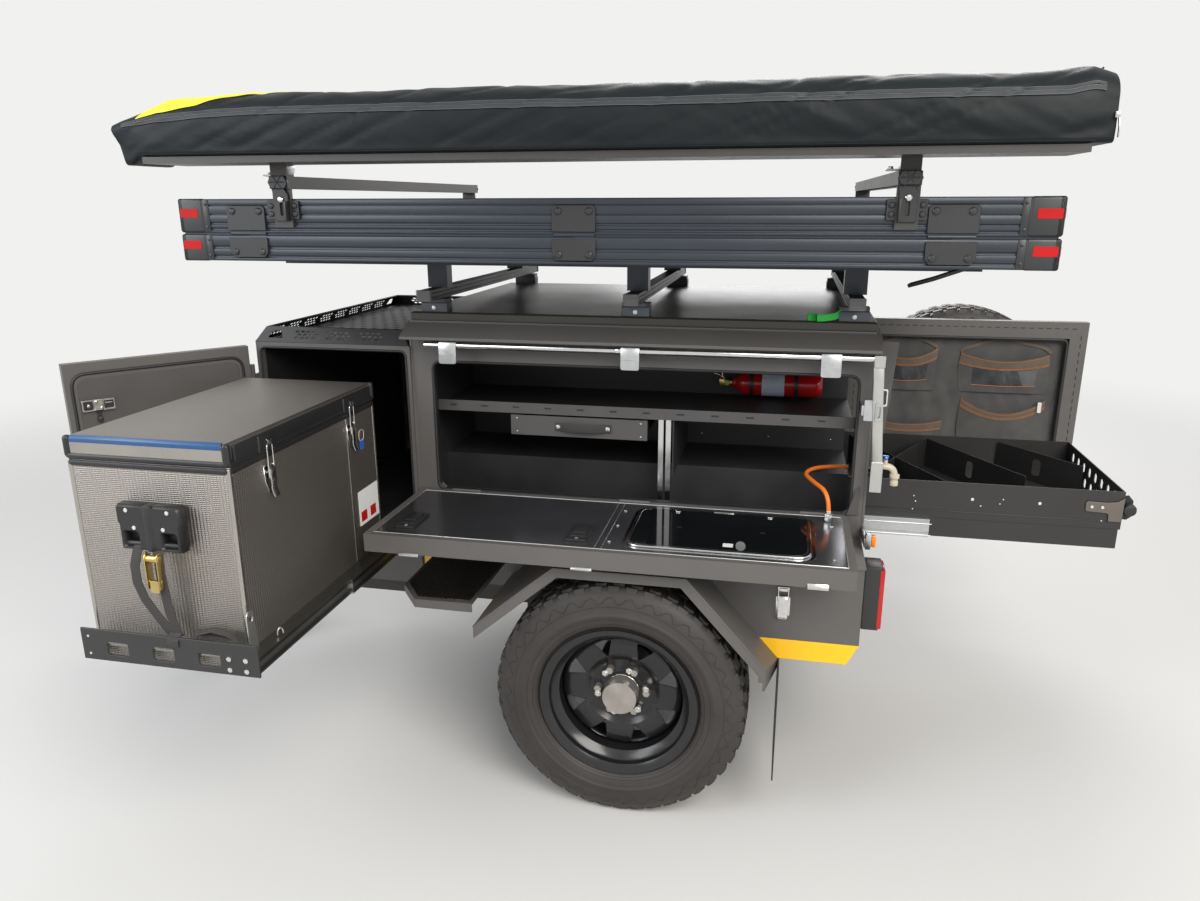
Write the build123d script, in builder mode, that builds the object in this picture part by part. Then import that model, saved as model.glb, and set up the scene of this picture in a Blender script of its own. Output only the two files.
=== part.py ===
from build123d import *
import math
import os

# Compact off-road camping trailer, in millimetres, as it stands in camp.
# Origin: centre of the coupling ball.  +X runs to the rear, +Y to the trailer's right, +Z up.
# The left side carries the kitchen: its hatch is down, the fridge and rear drawer are out.

# Fits
GAP = 0.3
MOVE_GAP = 5

# Running gear
AXLE_Z = -177
AXLE_X = 1950
TYRE_R = 353
TYRE_W = 215
TRACK_Y = 722
RIM_R = 220.5
BEAD_R = 203
BEAD_Y = 82
AXLE_SQ = 45
STUB_R = 22
CAP_R = 48
LUG_PCD = 139.7
LUG_COUNT = 6
WINDOW_COUNT = 8
GROUND_Z = AXLE_Z - TYRE_R

# Chassis
RAIL_Z0 = AXLE_Z + 87
RAIL_Z1 = RAIL_Z0 + 70
RAIL_Y = 400
RAIL_W = 60
DRAWBAR_W = 80
DRAWBAR_X0 = 62

# Main box
BODY_X0 = AXLE_X - 690
BODY_X1 = AXLE_X + 640
BODY_HALF = 490
WALL = 25
FLOOR_T = 12
FLOOR_Z = RAIL_Z1 + FLOOR_T
SILL_Z = AXLE_Z + TYRE_R + 124
HEAD_Z = SILL_Z + 395
EAVE_Z = SILL_Z + 470
ROOF_Z = SILL_Z + 515
ROOF_T = 27
EAVE_HALF = BODY_HALF + 68
OPEN_X0 = AXLE_X - 622
OPEN_X1 = AXLE_X + 600
OPEN_R = 25
INNER = BODY_HALF - WALL
INSIDE_X0 = BODY_X0 + WALL
INSIDE_X1 = BODY_X1 - WALL - 12

# Nose box
NOSE_X0 = AXLE_X - 1195
NOSE_HALF = 500
NOSE_Z1 = SILL_Z + 440
NOSE_WALL = 15
BAY_X0 = AXLE_X - 1178
BAY_X1 = AXLE_X - 706
BAY_Z0 = SILL_Z - 180
BAY_Z1 = SILL_Z + 422

# Hatches
HATCH_X0 = AXLE_X - 677
HATCH_X1 = AXLE_X + 598
HATCH_L = 400
HATCH_T = 50
HINGE_Y = BODY_HALF + MOVE_GAP
HATCH_SKIN = 3
HATCH_RIM = 20
PIN_R = 4.7

# Fridge and its slide
FRIDGE_X0 = AXLE_X - 1165
FRIDGE_W = 405
FRIDGE_Y0 = -1310
FRIDGE_L = 690
FRIDGE_Z1 = SILL_Z + 300
LID_T = 55
LID_OVER = 5
FRIDGE_TRAVEL = 850
FACE_Y = -1352
RAIL_L = 720
SLIDE_Z0 = BAY_Z0 + 6
SLIDE_Z1 = SLIDE_Z0 + 40

# Rear drawer
DRAWER_X1 = AXLE_X + 1373
DRAWER_L = 800
DRAWER_HALF = 278
DRAWER_Z0 = SILL_Z - 64
DRAWER_Z1 = SILL_Z + 50
BAY_HALF = 306
BAY_TOP = SILL_Z + 60
BAY_T = 6
D_RAIL_Z0 = SILL_Z - 122
D_RAIL_Z1 = SILL_Z - 66

# Rear door with the spare wheel, standing open at a right angle
DOOR_AXIS_X = AXLE_X + 615
DOOR_AXIS_Y = BODY_HALF + 30
DOOR_Y0 = DOOR_AXIS_Y + 30
DOOR_T = 36
DOOR_X0 = DOOR_AXIS_X + 31
DOOR_W = 822
DOOR_Z0 = SILL_Z - 230
DOOR_Z1 = SILL_Z + 426
DOOR_RIM = 60
DOOR_HINGE_ZS = (SILL_Z + 10, SILL_Z + 330)
SPARE_X = AXLE_X + 1060
SPARE_Y = DOOR_Y0 + DOOR_T + 132
SPARE_Z = SILL_Z + 110

# Roof, tent and awning
BAR_XS = (AXLE_X - 610, AXLE_X - 15, AXLE_X + 575)
BAR_Z0 = SILL_Z + 580
BAR_Z1 = SILL_Z + 610
TENT_X0 = AXLE_X - 1170
TENT_X1 = AXLE_X + 965
TENT_Y0 = -BODY_HALF - 310
TENT_W = 1400
TENT_Z0 = SILL_Z + 705
TENT_SPLIT = SILL_Z + 774
TENT_Z1 = SILL_Z + 860
TENT_FRAME = 45
SHELL_T = 6
TOP_BAR_Z0 = SILL_Z + 885
BAG_X0 = AXLE_X - 1200
BAG_X1 = AXLE_X + 1010

parts = {}


def keep(name, piece):
    """Label a finished piece and set it aside for export."""
    piece.label = name
    parts[name] = piece


def block(x, y, z, mode=Mode.ADD):
    """A box from three pairs of limits, in the part that is being built."""
    spans = [(min(pair), max(pair)) for pair in (x, y, z)]
    with Locations(tuple((low + high) / 2 for low, high in spans)):
        Box(*(high - low for low, high in spans), mode=mode)


def rod(x, y, z, radius, length, direction, mode=Mode.ADD):
    """A round bar centred on a point, along a direction."""
    with Locations(Plane(origin=(x, y, z), z_dir=direction).location):
        Cylinder(radius, length, mode=mode)


def across(y, x=0, z=0):
    """A drawing plane that faces the left side: local x is X, local y is Z."""
    return Plane(origin=(x, y, z), x_dir=(1, 0, 0), z_dir=(0, -1, 0))


def section(x):
    """A drawing plane across the trailer: local x is Y, local y is Z."""
    return Plane(origin=(x, 0, 0), x_dir=(0, 1, 0), z_dir=(1, 0, 0))


# Chassis: straight drawbar, two braces, two side rails and cross members
BRACE_X0 = 520
CHAIN_X = 220
CHAIN_R = 9
JOCKEY_X = 400
JOCKEY_Y = -DRAWBAR_W / 2 - 52
with BuildPart() as chassis_frame:
    block((DRAWBAR_X0, BODY_X0 + 60), (-DRAWBAR_W / 2, DRAWBAR_W / 2), (RAIL_Z0, RAIL_Z1))
    for side in (-1, 1):
        block((NOSE_X0 + 20, BODY_X1), (side * (RAIL_Y - RAIL_W / 2), side * (RAIL_Y + RAIL_W / 2)),
            (RAIL_Z0, RAIL_Z1))
        with BuildSketch(Plane.XY.offset(RAIL_Z0)):
            with BuildLine():
                Polyline(
                    (BRACE_X0, side * (DRAWBAR_W / 2 - 10)),
                    (BRACE_X0 + 90, side * (DRAWBAR_W / 2 - 10)),
                    (NOSE_X0 + 80, side * (RAIL_Y - RAIL_W / 2 + 10)),
                    (NOSE_X0 + 20, side * (RAIL_Y + RAIL_W / 2)),
                    close=True,
                )
            make_face()
        extrude(amount=RAIL_Z1 - RAIL_Z0)
    for x in (NOSE_X0 + 20, BODY_X0 + 10, AXLE_X + 250, BODY_X1 - 60):
        block((x, x + 60), (-RAIL_Y, RAIL_Y), (RAIL_Z0 + 10, RAIL_Z1))
    block((CHAIN_X - 30, CHAIN_X + 30), (-DRAWBAR_W / 2 - 34, DRAWBAR_W / 2 + 34), (RAIL_Z0 - 8, RAIL_Z0))
    for side in (-1, 1):
        rod(CHAIN_X, side * (DRAWBAR_W / 2 + 17), RAIL_Z0 - 4, CHAIN_R, 20, (0, 0, 1), Mode.SUBTRACT)
keep("chassis_frame", chassis_frame.part)

# Coupler: pressed head with the ball socket, a body bolted on the drawbar and a lever
SOCKET_R = 25.4
HEAD_R = 36
COUPLER_L = 220
with BuildPart() as coupler:
    with BuildSketch(Plane.XY.offset(RAIL_Z1)):
        Circle(HEAD_R)
        with Locations((COUPLER_L / 2, 0)):
            Rectangle(COUPLER_L, 56)
    extrude(amount=58)
    fillet(coupler.edges().group_by(Axis.Z)[-1], 8)
    block((70, COUPLER_L + 30), (-34, 34), (RAIL_Z1, 0))
    rod(0, 0, -7.5, SOCKET_R, 27, (0, 0, 1), Mode.SUBTRACT)
    with Locations((0, 0, 6)):
        Sphere(SOCKET_R, mode=Mode.SUBTRACT)
    block((90, 165), (-9, 9), (36, 52))
keep("coupler", coupler.part)

# Axle: square beam with round stubs and back plates
with BuildPart() as axle:
    block((AXLE_X - AXLE_SQ / 2, AXLE_X + AXLE_SQ / 2), (-TRACK_Y + 162, TRACK_Y - 162),
        (AXLE_Z - AXLE_SQ / 2, AXLE_Z + AXLE_SQ / 2))
    rod(AXLE_X, 0, AXLE_Z, STUB_R, 2 * (TRACK_Y + 50), (0, 1, 0))
    for side in (-1, 1):
        rod(AXLE_X, side * (TRACK_Y - 150), AXLE_Z, 95, 26, (0, 1, 0))
keep("axle", axle.part)

# Leaf springs with hangers, one pack under each rail
SPRING_HALF = 350
LEAF_T = 8
AXLE_TOP = AXLE_Z + AXLE_SQ / 2
SPRING_RISE = 28
SPRING_W = 50
with BuildPart() as leaf_springs:
    for side in (-1, 1):
        for leaf in range(4):
            half = SPRING_HALF - 75 * leaf
            base = AXLE_TOP + LEAF_T * (3 - leaf)
            rise = SPRING_RISE * (half / SPRING_HALF) ** 2
            with BuildSketch(across(side * RAIL_Y + SPRING_W / 2, AXLE_X)):
                with BuildLine():
                    low = ThreePointArc((-half, base + rise), (0, base), (half, base + rise))
                    Line(low @ 1, (half, base + rise + LEAF_T))
                    high = ThreePointArc((half, base + rise + LEAF_T), (0, base + LEAF_T),
                        (-half, base + rise + LEAF_T))
                    Line(high @ 1, low @ 0)
                make_face()
            extrude(amount=SPRING_W)
        for end in (-1, 1):
            x = AXLE_X + end * SPRING_HALF
            block((x - 20, x + 20), (side * (RAIL_Y - 25), side * (RAIL_Y + 25)),
                (AXLE_TOP + 3 * LEAF_T + 20, RAIL_Z0))
keep("leaf_springs", leaf_springs.part)


# Road wheels and the spare
def wheel_plane(x, y, z):
    """A drawing plane through a wheel's axis: local x is the radius, local y runs along Y."""
    return Plane(origin=(x, y, z), x_dir=(1, 0, 0), z_dir=(0, 0, 1))


def tyre_at(x, y, z):
    """Tyre turned about the wheel's axis, hollow where the rim carries it."""
    half = TYRE_W / 2
    bead = BEAD_R + GAP
    with BuildPart() as tyre:
        with BuildSketch(wheel_plane(x, y, z)):
            with BuildLine():
                Polyline((bead, -BEAD_Y + 14), (bead, -BEAD_Y + 1), (RIM_R + 2, -BEAD_Y - 1))
                ThreePointArc((RIM_R + 2, -BEAD_Y - 1), (BEAD_R + 66, -half), (TYRE_R - 34, -half + 8))
                Polyline((TYRE_R - 34, -half + 8), (TYRE_R - 8, -half + 22), (TYRE_R, -half + 42),
                    (TYRE_R, half - 42),
                    (TYRE_R - 8, half - 22), (TYRE_R - 34, half - 8))
                ThreePointArc((TYRE_R - 34, half - 8), (BEAD_R + 66, half), (RIM_R + 2, BEAD_Y + 1))
                Polyline((RIM_R + 2, BEAD_Y + 1), (bead, BEAD_Y - 1), (bead, BEAD_Y - 14))
                ThreePointArc((bead, BEAD_Y - 14), (TYRE_R - 30, 0), (bead, -BEAD_Y + 14))
            make_face()
        revolve(axis=Axis((x, y, z), (0, 1, 0)))
    return tyre.part


def rim_at(x, y, z, out):
    """Steel rim; out is the side, -1 or +1 along Y, that the disc's face looks to."""
    lip = BEAD_Y + 14
    with BuildPart() as rim:
        with BuildSketch(wheel_plane(x, y, z)):
            with BuildLine():
                Polyline((RIM_R, -lip), (RIM_R, -lip + 6), (BEAD_R, -BEAD_Y - GAP), (BEAD_R, -62),
                    (182, -46), (182, 46),
                    (BEAD_R, 62), (BEAD_R, BEAD_Y + GAP), (RIM_R, lip - 6), (RIM_R, lip),
                    (BEAD_R - 6, lip - 6),
                    (BEAD_R - 6, 66), (176, 50), (176, -50), (BEAD_R - 6, -66),
                    (BEAD_R - 6, -lip + 6), close=True)
            make_face()
        revolve(axis=Axis((x, y, z), (0, 1, 0)))
        with BuildSketch(wheel_plane(x, y, z)):
            with BuildLine():
                Polyline((CAP_R + 1, out * 2), (CAP_R + 1, out * 10), (88, out * 10), (112, out * 34),
                    (150, out * 38),
                    (178, out * 20), (178, out * 10), (148, out * 29), (116, out * 26),
                    (92, out * 2), close=True)
            make_face()
        revolve(axis=Axis((x, y, z), (0, 1, 0)))
        with BuildSketch(Plane(origin=(x, y, z), x_dir=(1, 0, 0), z_dir=(0, out, 0))):
            with PolarLocations(133, WINDOW_COUNT, start_angle=12):
                RegularPolygon(27, 3)
        extrude(amount=60, mode=Mode.SUBTRACT)
    return rim.part


def hub_at(x, y, z, out):
    """Hub barrel, cap and lug nuts, turned about the stub."""
    with BuildPart() as hub:
        with BuildSketch(wheel_plane(x, y, z)):
            with BuildLine():
                Polyline((STUB_R + GAP, -out * 120), (70, -out * 120), (70, -out * 20), (88, -out * 20),
                    (88, out * 1.7),
                    (CAP_R, out * 1.7), (CAP_R, out * 68), (0, out * 68), (0, out * 52),
                    (STUB_R + GAP, out * 52),
                    close=True)
            make_face()
        revolve(axis=Axis((x, y, z), (0, 1, 0)))
        with BuildSketch(Plane(origin=(x, y + out * 10.3, z), x_dir=(1, 0, 0), z_dir=(0, out, 0))):
            with PolarLocations(LUG_PCD / 2, LUG_COUNT):
                RegularPolygon(10.5, 6)
        extrude(amount=20)
    return hub.part


for side_name, out in (("left", -1), ("right", 1)):
    keep(f"tyre_{side_name}", tyre_at(AXLE_X, out * TRACK_Y, AXLE_Z))
    keep(f"rim_{side_name}", rim_at(AXLE_X, out * TRACK_Y, AXLE_Z, out))
    keep(f"hub_{side_name}", hub_at(AXLE_X, out * TRACK_Y, AXLE_Z, out))

# Jockey wheel: outer tube clamped on the drawbar, inner leg, caster fork and solid tyre
JOCKEY_R = 100
LEG_R = 20
SLEEVE_R = 26
TRAIL = 45
FORK_TOP = GROUND_Z + 235
SLEEVE_Z0 = RAIL_Z0 - 80
SLEEVE_Z1 = SLEEVE_Z0 + 340
FORK_HALF = 37
with BuildPart() as jockey_sleeve:
    rod(JOCKEY_X, JOCKEY_Y, (SLEEVE_Z0 + SLEEVE_Z1) / 2, SLEEVE_R, SLEEVE_Z1 - SLEEVE_Z0, (0, 0, 1))
    block((JOCKEY_X - 32, JOCKEY_X + 32), (JOCKEY_Y + 10, -DRAWBAR_W / 2), (RAIL_Z0 + 8, RAIL_Z1 - 8))
    rod(JOCKEY_X, JOCKEY_Y, (SLEEVE_Z0 + SLEEVE_Z1) / 2 - 12, LEG_R + GAP, SLEEVE_Z1 - SLEEVE_Z0,
        (0, 0, 1), Mode.SUBTRACT)
    rod(JOCKEY_X, JOCKEY_Y, SLEEVE_Z1 + 15, 9, 30, (0, 0, 1))
    block((JOCKEY_X - 9, JOCKEY_X + 110), (JOCKEY_Y - 8, JOCKEY_Y + 8), (SLEEVE_Z1 + 30, SLEEVE_Z1 + 40))
    rod(JOCKEY_X + 100, JOCKEY_Y, SLEEVE_Z1 + 70, 11, 64, (0, 0, 1))
keep("jockey_sleeve", jockey_sleeve.part)

LEG_L = 250
with BuildPart() as jockey_leg:
    rod(JOCKEY_X, JOCKEY_Y, FORK_TOP + GAP + LEG_L / 2, LEG_R, LEG_L, (0, 0, 1))
keep("jockey_leg", jockey_leg.part)

with BuildPart() as jockey_fork:
    rod(JOCKEY_X, JOCKEY_Y, FORK_TOP - 9, LEG_R + 6, 18, (0, 0, 1))
    for side in (-1, 1):
        with BuildSketch(across(JOCKEY_Y + side * (FORK_HALF - 3) + 3)):
            with BuildLine():
                Polyline((JOCKEY_X - 26, FORK_TOP - 18), (JOCKEY_X + 26, FORK_TOP - 18),
                    (JOCKEY_X - TRAIL + 16, GROUND_Z + JOCKEY_R - 16),
                    (JOCKEY_X - TRAIL - 16, GROUND_Z + JOCKEY_R - 16),
                    close=True)
            make_face()
        extrude(amount=6)
    block((JOCKEY_X - 26, JOCKEY_X + 26), (JOCKEY_Y - FORK_HALF, JOCKEY_Y + FORK_HALF),
        (FORK_TOP - 24, FORK_TOP - 18))
    rod(JOCKEY_X - TRAIL, JOCKEY_Y, GROUND_Z + JOCKEY_R, 8, 84, (0, 1, 0))
keep("jockey_fork", jockey_fork.part)

with BuildPart() as jockey_wheel:
    rod(JOCKEY_X - TRAIL, JOCKEY_Y, GROUND_Z + JOCKEY_R, JOCKEY_R, 50, (0, 1, 0))
    fillet(jockey_wheel.edges(), 12)
    rod(JOCKEY_X - TRAIL, JOCKEY_Y, GROUND_Z + JOCKEY_R, 22, 58, (0, 1, 0))
    rod(JOCKEY_X - TRAIL, JOCKEY_Y, GROUND_Z + JOCKEY_R, 8.05, 70, (0, 1, 0), Mode.SUBTRACT)
keep("jockey_wheel", jockey_wheel.part)

# Main box: floor with the drawer bay standing on it, side walls and end walls
with BuildPart() as floor_pan:
    block((BODY_X0, BODY_X1), (-BODY_HALF, BODY_HALF), (RAIL_Z1, FLOOR_Z))
    with BuildSketch(section(INSIDE_X0)):
        with BuildLine():
            Polyline((-BAY_HALF - BAY_T, FLOOR_Z), (-BAY_HALF - BAY_T, BAY_TOP + BAY_T),
                (BAY_HALF + BAY_T, BAY_TOP + BAY_T),
                     (BAY_HALF + BAY_T, FLOOR_Z), (BAY_HALF, FLOOR_Z), (BAY_HALF, BAY_TOP),
                    (-BAY_HALF, BAY_TOP),
                     (-BAY_HALF, FLOOR_Z), close=True)
        make_face()
    extrude(amount=INSIDE_X1 - INSIDE_X0)
keep("floor_pan", floor_pan.part)

HINGE_XS = (OPEN_X0 + 90, (OPEN_X0 + OPEN_X1) / 2, OPEN_X1 - 90)
HINGE_L = 90
for side_name, side in (("left", -1), ("right", 1)):
    with BuildPart() as side_wall:
        with BuildSketch(across(side * BODY_HALF)):
            with Locations(((BODY_X0 + BODY_X1) / 2, (FLOOR_Z + EAVE_Z) / 2)):
                Rectangle(BODY_X1 - BODY_X0, EAVE_Z - FLOOR_Z)
            with Locations(((OPEN_X0 + OPEN_X1) / 2, (SILL_Z + HEAD_Z) / 2)):
                RectangleRounded(OPEN_X1 - OPEN_X0, HEAD_Z - SILL_Z, OPEN_R, mode=Mode.SUBTRACT)
        extrude(amount=side * WALL)
        for x in HINGE_XS:
            block((x - HINGE_L / 2, x + HINGE_L / 2), (side * BODY_HALF, side * (HINGE_Y - 1)),
                (SILL_Z - 34, SILL_Z))
            rod(x, side * HINGE_Y, SILL_Z, PIN_R, HINGE_L, (1, 0, 0))
        if side > 0:
            for z in DOOR_HINGE_ZS:
                for dz in (-40, 40):
                    block((DOOR_AXIS_X - 12, DOOR_AXIS_X + 12), (BODY_HALF, DOOR_AXIS_Y),
                        (z + dz - 9, z + dz + 9))
                    rod(DOOR_AXIS_X, DOOR_AXIS_Y, z + dz, 12, 18, (0, 0, 1))
    keep(f"side_wall_{side_name}", side_wall.part)

REAR_OPEN_HALF = INNER - 140
REAR_OPEN_Z0 = SILL_Z - 160
with BuildPart() as end_walls:
    block((BODY_X0, BODY_X0 + WALL), (-INNER, INNER), (FLOOR_Z, EAVE_Z))
    with BuildSketch(section(BODY_X1 - WALL)):
        with Locations((0, (FLOOR_Z + EAVE_Z) / 2)):
            Rectangle(2 * INNER, EAVE_Z - FLOOR_Z)
        with Locations((20, (REAR_OPEN_Z0 + HEAD_Z) / 2)):
            RectangleRounded(2 * REAR_OPEN_HALF + 40, HEAD_Z - REAR_OPEN_Z0, OPEN_R, mode=Mode.SUBTRACT)
    extrude(amount=WALL)
keep("end_walls", end_walls.part)

# Roof: hood with bevelled eaves and a flat dark plate on top
HOOD_T = 6
HOOD_IN = INNER + 11
with BuildPart() as roof_hood:
    with BuildSketch(section(BODY_X0 - 4)):
        with BuildLine():
            Polyline((-EAVE_HALF, EAVE_Z), (-EAVE_HALF, EAVE_Z + 8), (-BODY_HALF + 4, ROOF_Z),
                (BODY_HALF - 4, ROOF_Z),
                     (EAVE_HALF, EAVE_Z + 8), (EAVE_HALF, EAVE_Z), (HOOD_IN, EAVE_Z),
                    (HOOD_IN, ROOF_Z - HOOD_T),
                     (-HOOD_IN, ROOF_Z - HOOD_T), (-HOOD_IN, EAVE_Z), close=True)
        make_face()
    extrude(amount=BODY_X1 - BODY_X0 + 12)
keep("roof_hood", roof_hood.part)
with BuildPart() as roof_plate:
    block((BODY_X0 + 6, BODY_X1 - 2), (-BODY_HALF + 6, BODY_HALF - 6), (ROOF_Z, ROOF_Z + ROOF_T))
    chamfer(roof_plate.edges().group_by(Axis.Z)[-1], 5)
keep("roof_plate", roof_plate.part)

# Side pods behind the wheels, mudguards, steps ahead of the wheels and mud flaps.
# Each pod's front lies along the sloped back leg of its mudguard.
ARCH_X0 = TYRE_R + 47
ARCH_TOP_X = TYRE_R - 170
ARCH_X1 = TYRE_R + 72
ARCH_Z0 = TYRE_R - 146
ARCH_Z1 = TYRE_R + 46
ARCH_Z2 = TYRE_R - 226
GUARD_T = 6
GUARD_Y1 = TRACK_Y + TYRE_W / 2 + 12
GUARD_CUT = 31
SKIRT_H = 27
SKIRT_T = 3
POD_X1 = BODY_X1 - 6
POD_Y1 = TRACK_Y - 17
POD_Z0 = AXLE_Z + ARCH_Z2
POD_Z1 = SILL_Z - 65
POD_SHEET = 4
POD_BEVEL = 60
DRAIN_R = 18
with BuildPart() as side_pods:
    for side in (-1, 1):
        outline = ((AXLE_X + ARCH_X1, POD_Z0), (POD_X1 - POD_BEVEL / 2, POD_Z0),
            (POD_X1, POD_Z0 + POD_BEVEL), (POD_X1, POD_Z1), (AXLE_X + ARCH_TOP_X, POD_Z1),
            (AXLE_X + ARCH_TOP_X, AXLE_Z + ARCH_Z1))
        with BuildSketch(across(side * BODY_HALF)):
            with BuildLine():
                Polyline(*outline, close=True)
            make_face()
        extrude(amount=-side * (POD_Y1 - BODY_HALF))
        with BuildSketch(across(side * (BODY_HALF + POD_SHEET))):
            with BuildLine():
                Polyline(*outline, close=True)
            make_face()
            offset(amount=-POD_SHEET, mode=Mode.REPLACE)
        extrude(amount=-side * (POD_Y1 - BODY_HALF - 2 * POD_SHEET), mode=Mode.SUBTRACT)
        rod(POD_X1 - 100, side * (BODY_HALF + POD_Y1) / 2, POD_Z0, DRAIN_R, 4 * POD_SHEET,
            (0, 0, 1), Mode.SUBTRACT)
keep("side_pods", side_pods.part)

ARCH_SLOPE = (ARCH_Z1 - ARCH_Z2) / (ARCH_X1 - ARCH_TOP_X)
CUT_Z = ARCH_Z2 + GUARD_CUT * ARCH_SLOPE
with BuildPart() as mudguards:
    for side in (-1, 1):
        guard_outside = across(side * GUARD_Y1, AXLE_X, AXLE_Z)
        with BuildSketch(across(side * BODY_HALF, AXLE_X, AXLE_Z)):
            with BuildLine():
                Polyline((-ARCH_X0, ARCH_Z0), (-170, ARCH_Z1), (ARCH_TOP_X, ARCH_Z1), (ARCH_X1, ARCH_Z2),
                    (ARCH_X1 - GUARD_T, ARCH_Z2 - GUARD_T / 2), (ARCH_TOP_X - 4, ARCH_Z1 - GUARD_T),
                    (-167, ARCH_Z1 - GUARD_T), (-ARCH_X0 + GUARD_T, ARCH_Z0 - GUARD_T),
                    (-ARCH_X0, ARCH_Z0 - GUARD_T), close=True)
            make_face()
        extrude(amount=-side * (GUARD_Y1 - BODY_HALF))
        with BuildSketch(Plane.XY.offset(AXLE_Z + ARCH_Z2 - SKIRT_H)):
            with BuildLine():
                Polyline((AXLE_X + ARCH_X1, side * BODY_HALF), (AXLE_X + ARCH_X1, side * POD_Y1),
                    (AXLE_X + ARCH_X1 - GUARD_CUT, side * GUARD_Y1),
                    (AXLE_X + ARCH_X1 - GUARD_CUT - GUARD_T, side * GUARD_Y1),
                    (AXLE_X + ARCH_X1 - GUARD_T, side * POD_Y1),
                    (AXLE_X + ARCH_X1 - GUARD_T, side * BODY_HALF), close=True)
            make_face()
        extrude(amount=CUT_Z - ARCH_Z2 + SKIRT_H)
        with BuildSketch(guard_outside):
            with BuildLine():
                Polyline((-ARCH_X0, ARCH_Z0), (-170, ARCH_Z1), (ARCH_TOP_X, ARCH_Z1),
                    (ARCH_X1 - GUARD_CUT, CUT_Z), (ARCH_X1 - GUARD_CUT, CUT_Z - 1.4 * SKIRT_H),
                    (ARCH_X1 - GUARD_CUT - 18, CUT_Z - 1.4 * SKIRT_H),
                    (ARCH_X1 - GUARD_CUT - 18, CUT_Z - 0.7 * SKIRT_H),
                    (ARCH_TOP_X - SKIRT_H / 2, ARCH_Z1 - SKIRT_H), (-160, ARCH_Z1 - SKIRT_H),
                    (-ARCH_X0, ARCH_Z0 - 1.4 * SKIRT_H), close=True)
            make_face()
        extrude(amount=side * SKIRT_T)
        with BuildSketch(across(side * BODY_HALF, AXLE_X, AXLE_Z)):
            with BuildLine():
                Polyline((ARCH_TOP_X, ARCH_Z1), (ARCH_X1, ARCH_Z2), (ARCH_X1 + 40, ARCH_Z2),
                    (ARCH_X1 + 40, ARCH_Z1), close=True)
            make_face()
        extrude(amount=-side * (GUARD_Y1 - BODY_HALF), mode=Mode.SUBTRACT)
        with BuildSketch(Plane.XY.offset(AXLE_Z + ARCH_Z2 - 2 * SKIRT_H)):
            with BuildLine():
                Polyline((AXLE_X + ARCH_X1, side * POD_Y1), (AXLE_X + ARCH_X1 - GUARD_CUT, side * GUARD_Y1),
                    (AXLE_X + ARCH_X1, side * GUARD_Y1), close=True)
            make_face()
        extrude(amount=ARCH_Z1 - ARCH_Z2, mode=Mode.SUBTRACT)
keep("mudguards", mudguards.part)

STEP_Z = SILL_Z - 234
STEP_Y1 = TRACK_Y + 68
with BuildPart() as side_steps:
    for side in (-1, 1):
        with BuildSketch(Plane.XY.offset(STEP_Z)):
            with BuildLine():
                Polyline((AXLE_X - 660, side * BODY_HALF), (AXLE_X - 660, side * (STEP_Y1 - 90)),
                    (AXLE_X - 590, side * STEP_Y1),
                    (AXLE_X - 420, side * STEP_Y1), (AXLE_X - 420, side * BODY_HALF), close=True)
            make_face()
        extrude(amount=4)
keep("side_steps", side_steps.part)

FLAP_T = 4
with BuildPart() as mud_flaps:
    for side in (-1, 1):
        block((AXLE_X + ARCH_X1, AXLE_X + ARCH_X1 + FLAP_T),
            (side * (POD_Y1 - 105), side * (GUARD_Y1 - 54)), (GROUND_Z + 150, POD_Z0))
keep("mud_flaps", mud_flaps.part)

LAMP_W = 76
LAMP_H = 182
LAMP_T = 52
with BuildPart() as tail_lamps:
    for side in (-1, 1):
        block((POD_X1, POD_X1 + LAMP_T), (side * (POD_Y1 - 4 - LAMP_W), side * (POD_Y1 - 4)),
            (POD_Z1 - LAMP_H, POD_Z1))
keep("tail_lamps", tail_lamps.part)

# Nose box ahead of the main box, open on both sides, with the tray on top
NOSE_DOOR_W = 498
NOSE_DOOR_T = 28
NOSE_HINGE_X = NOSE_X0 - 8
NOSE_HINGE_Y = NOSE_HALF + 20
NOSE_DOOR_Z0 = SILL_Z - 190
NOSE_DOOR_Z1 = SILL_Z + 432
NOSE_HINGE_ZS = (NOSE_DOOR_Z0 + 90, NOSE_DOOR_Z1 - 90)
KNUCKLE_R = 8
KNUCKLE_L = 30
with BuildPart() as nose_box:
    block((NOSE_X0, BODY_X0), (-NOSE_HALF, NOSE_HALF), (RAIL_Z1, NOSE_Z1))
    inside_x = (NOSE_X0 + NOSE_WALL, BODY_X0 - NOSE_WALL)
    block(inside_x, (-NOSE_HALF + 20, NOSE_HALF - 20), (BAY_Z0, BAY_Z1), Mode.SUBTRACT)
    block((BAY_X0, BAY_X1), (-NOSE_HALF - 1, NOSE_HALF + 1), (BAY_Z0, BAY_Z1), Mode.SUBTRACT)
    block(inside_x, (-NOSE_HALF + 20, NOSE_HALF - 20), (RAIL_Z1 - 1, BAY_Z0 - 20), Mode.SUBTRACT)
    for side in (-1, 1):
        for z in NOSE_HINGE_ZS:
            rod(NOSE_HINGE_X, side * NOSE_HINGE_Y, z - KNUCKLE_L / 2 - GAP / 2, KNUCKLE_R, KNUCKLE_L,
                (0, 0, 1))
            block((NOSE_X0 - 8, NOSE_X0), (side * (NOSE_HALF - 30), side * NOSE_HINGE_Y),
                  (z - KNUCKLE_L - GAP / 2, z - GAP / 2))
keep("nose_box", nose_box.part)

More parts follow.
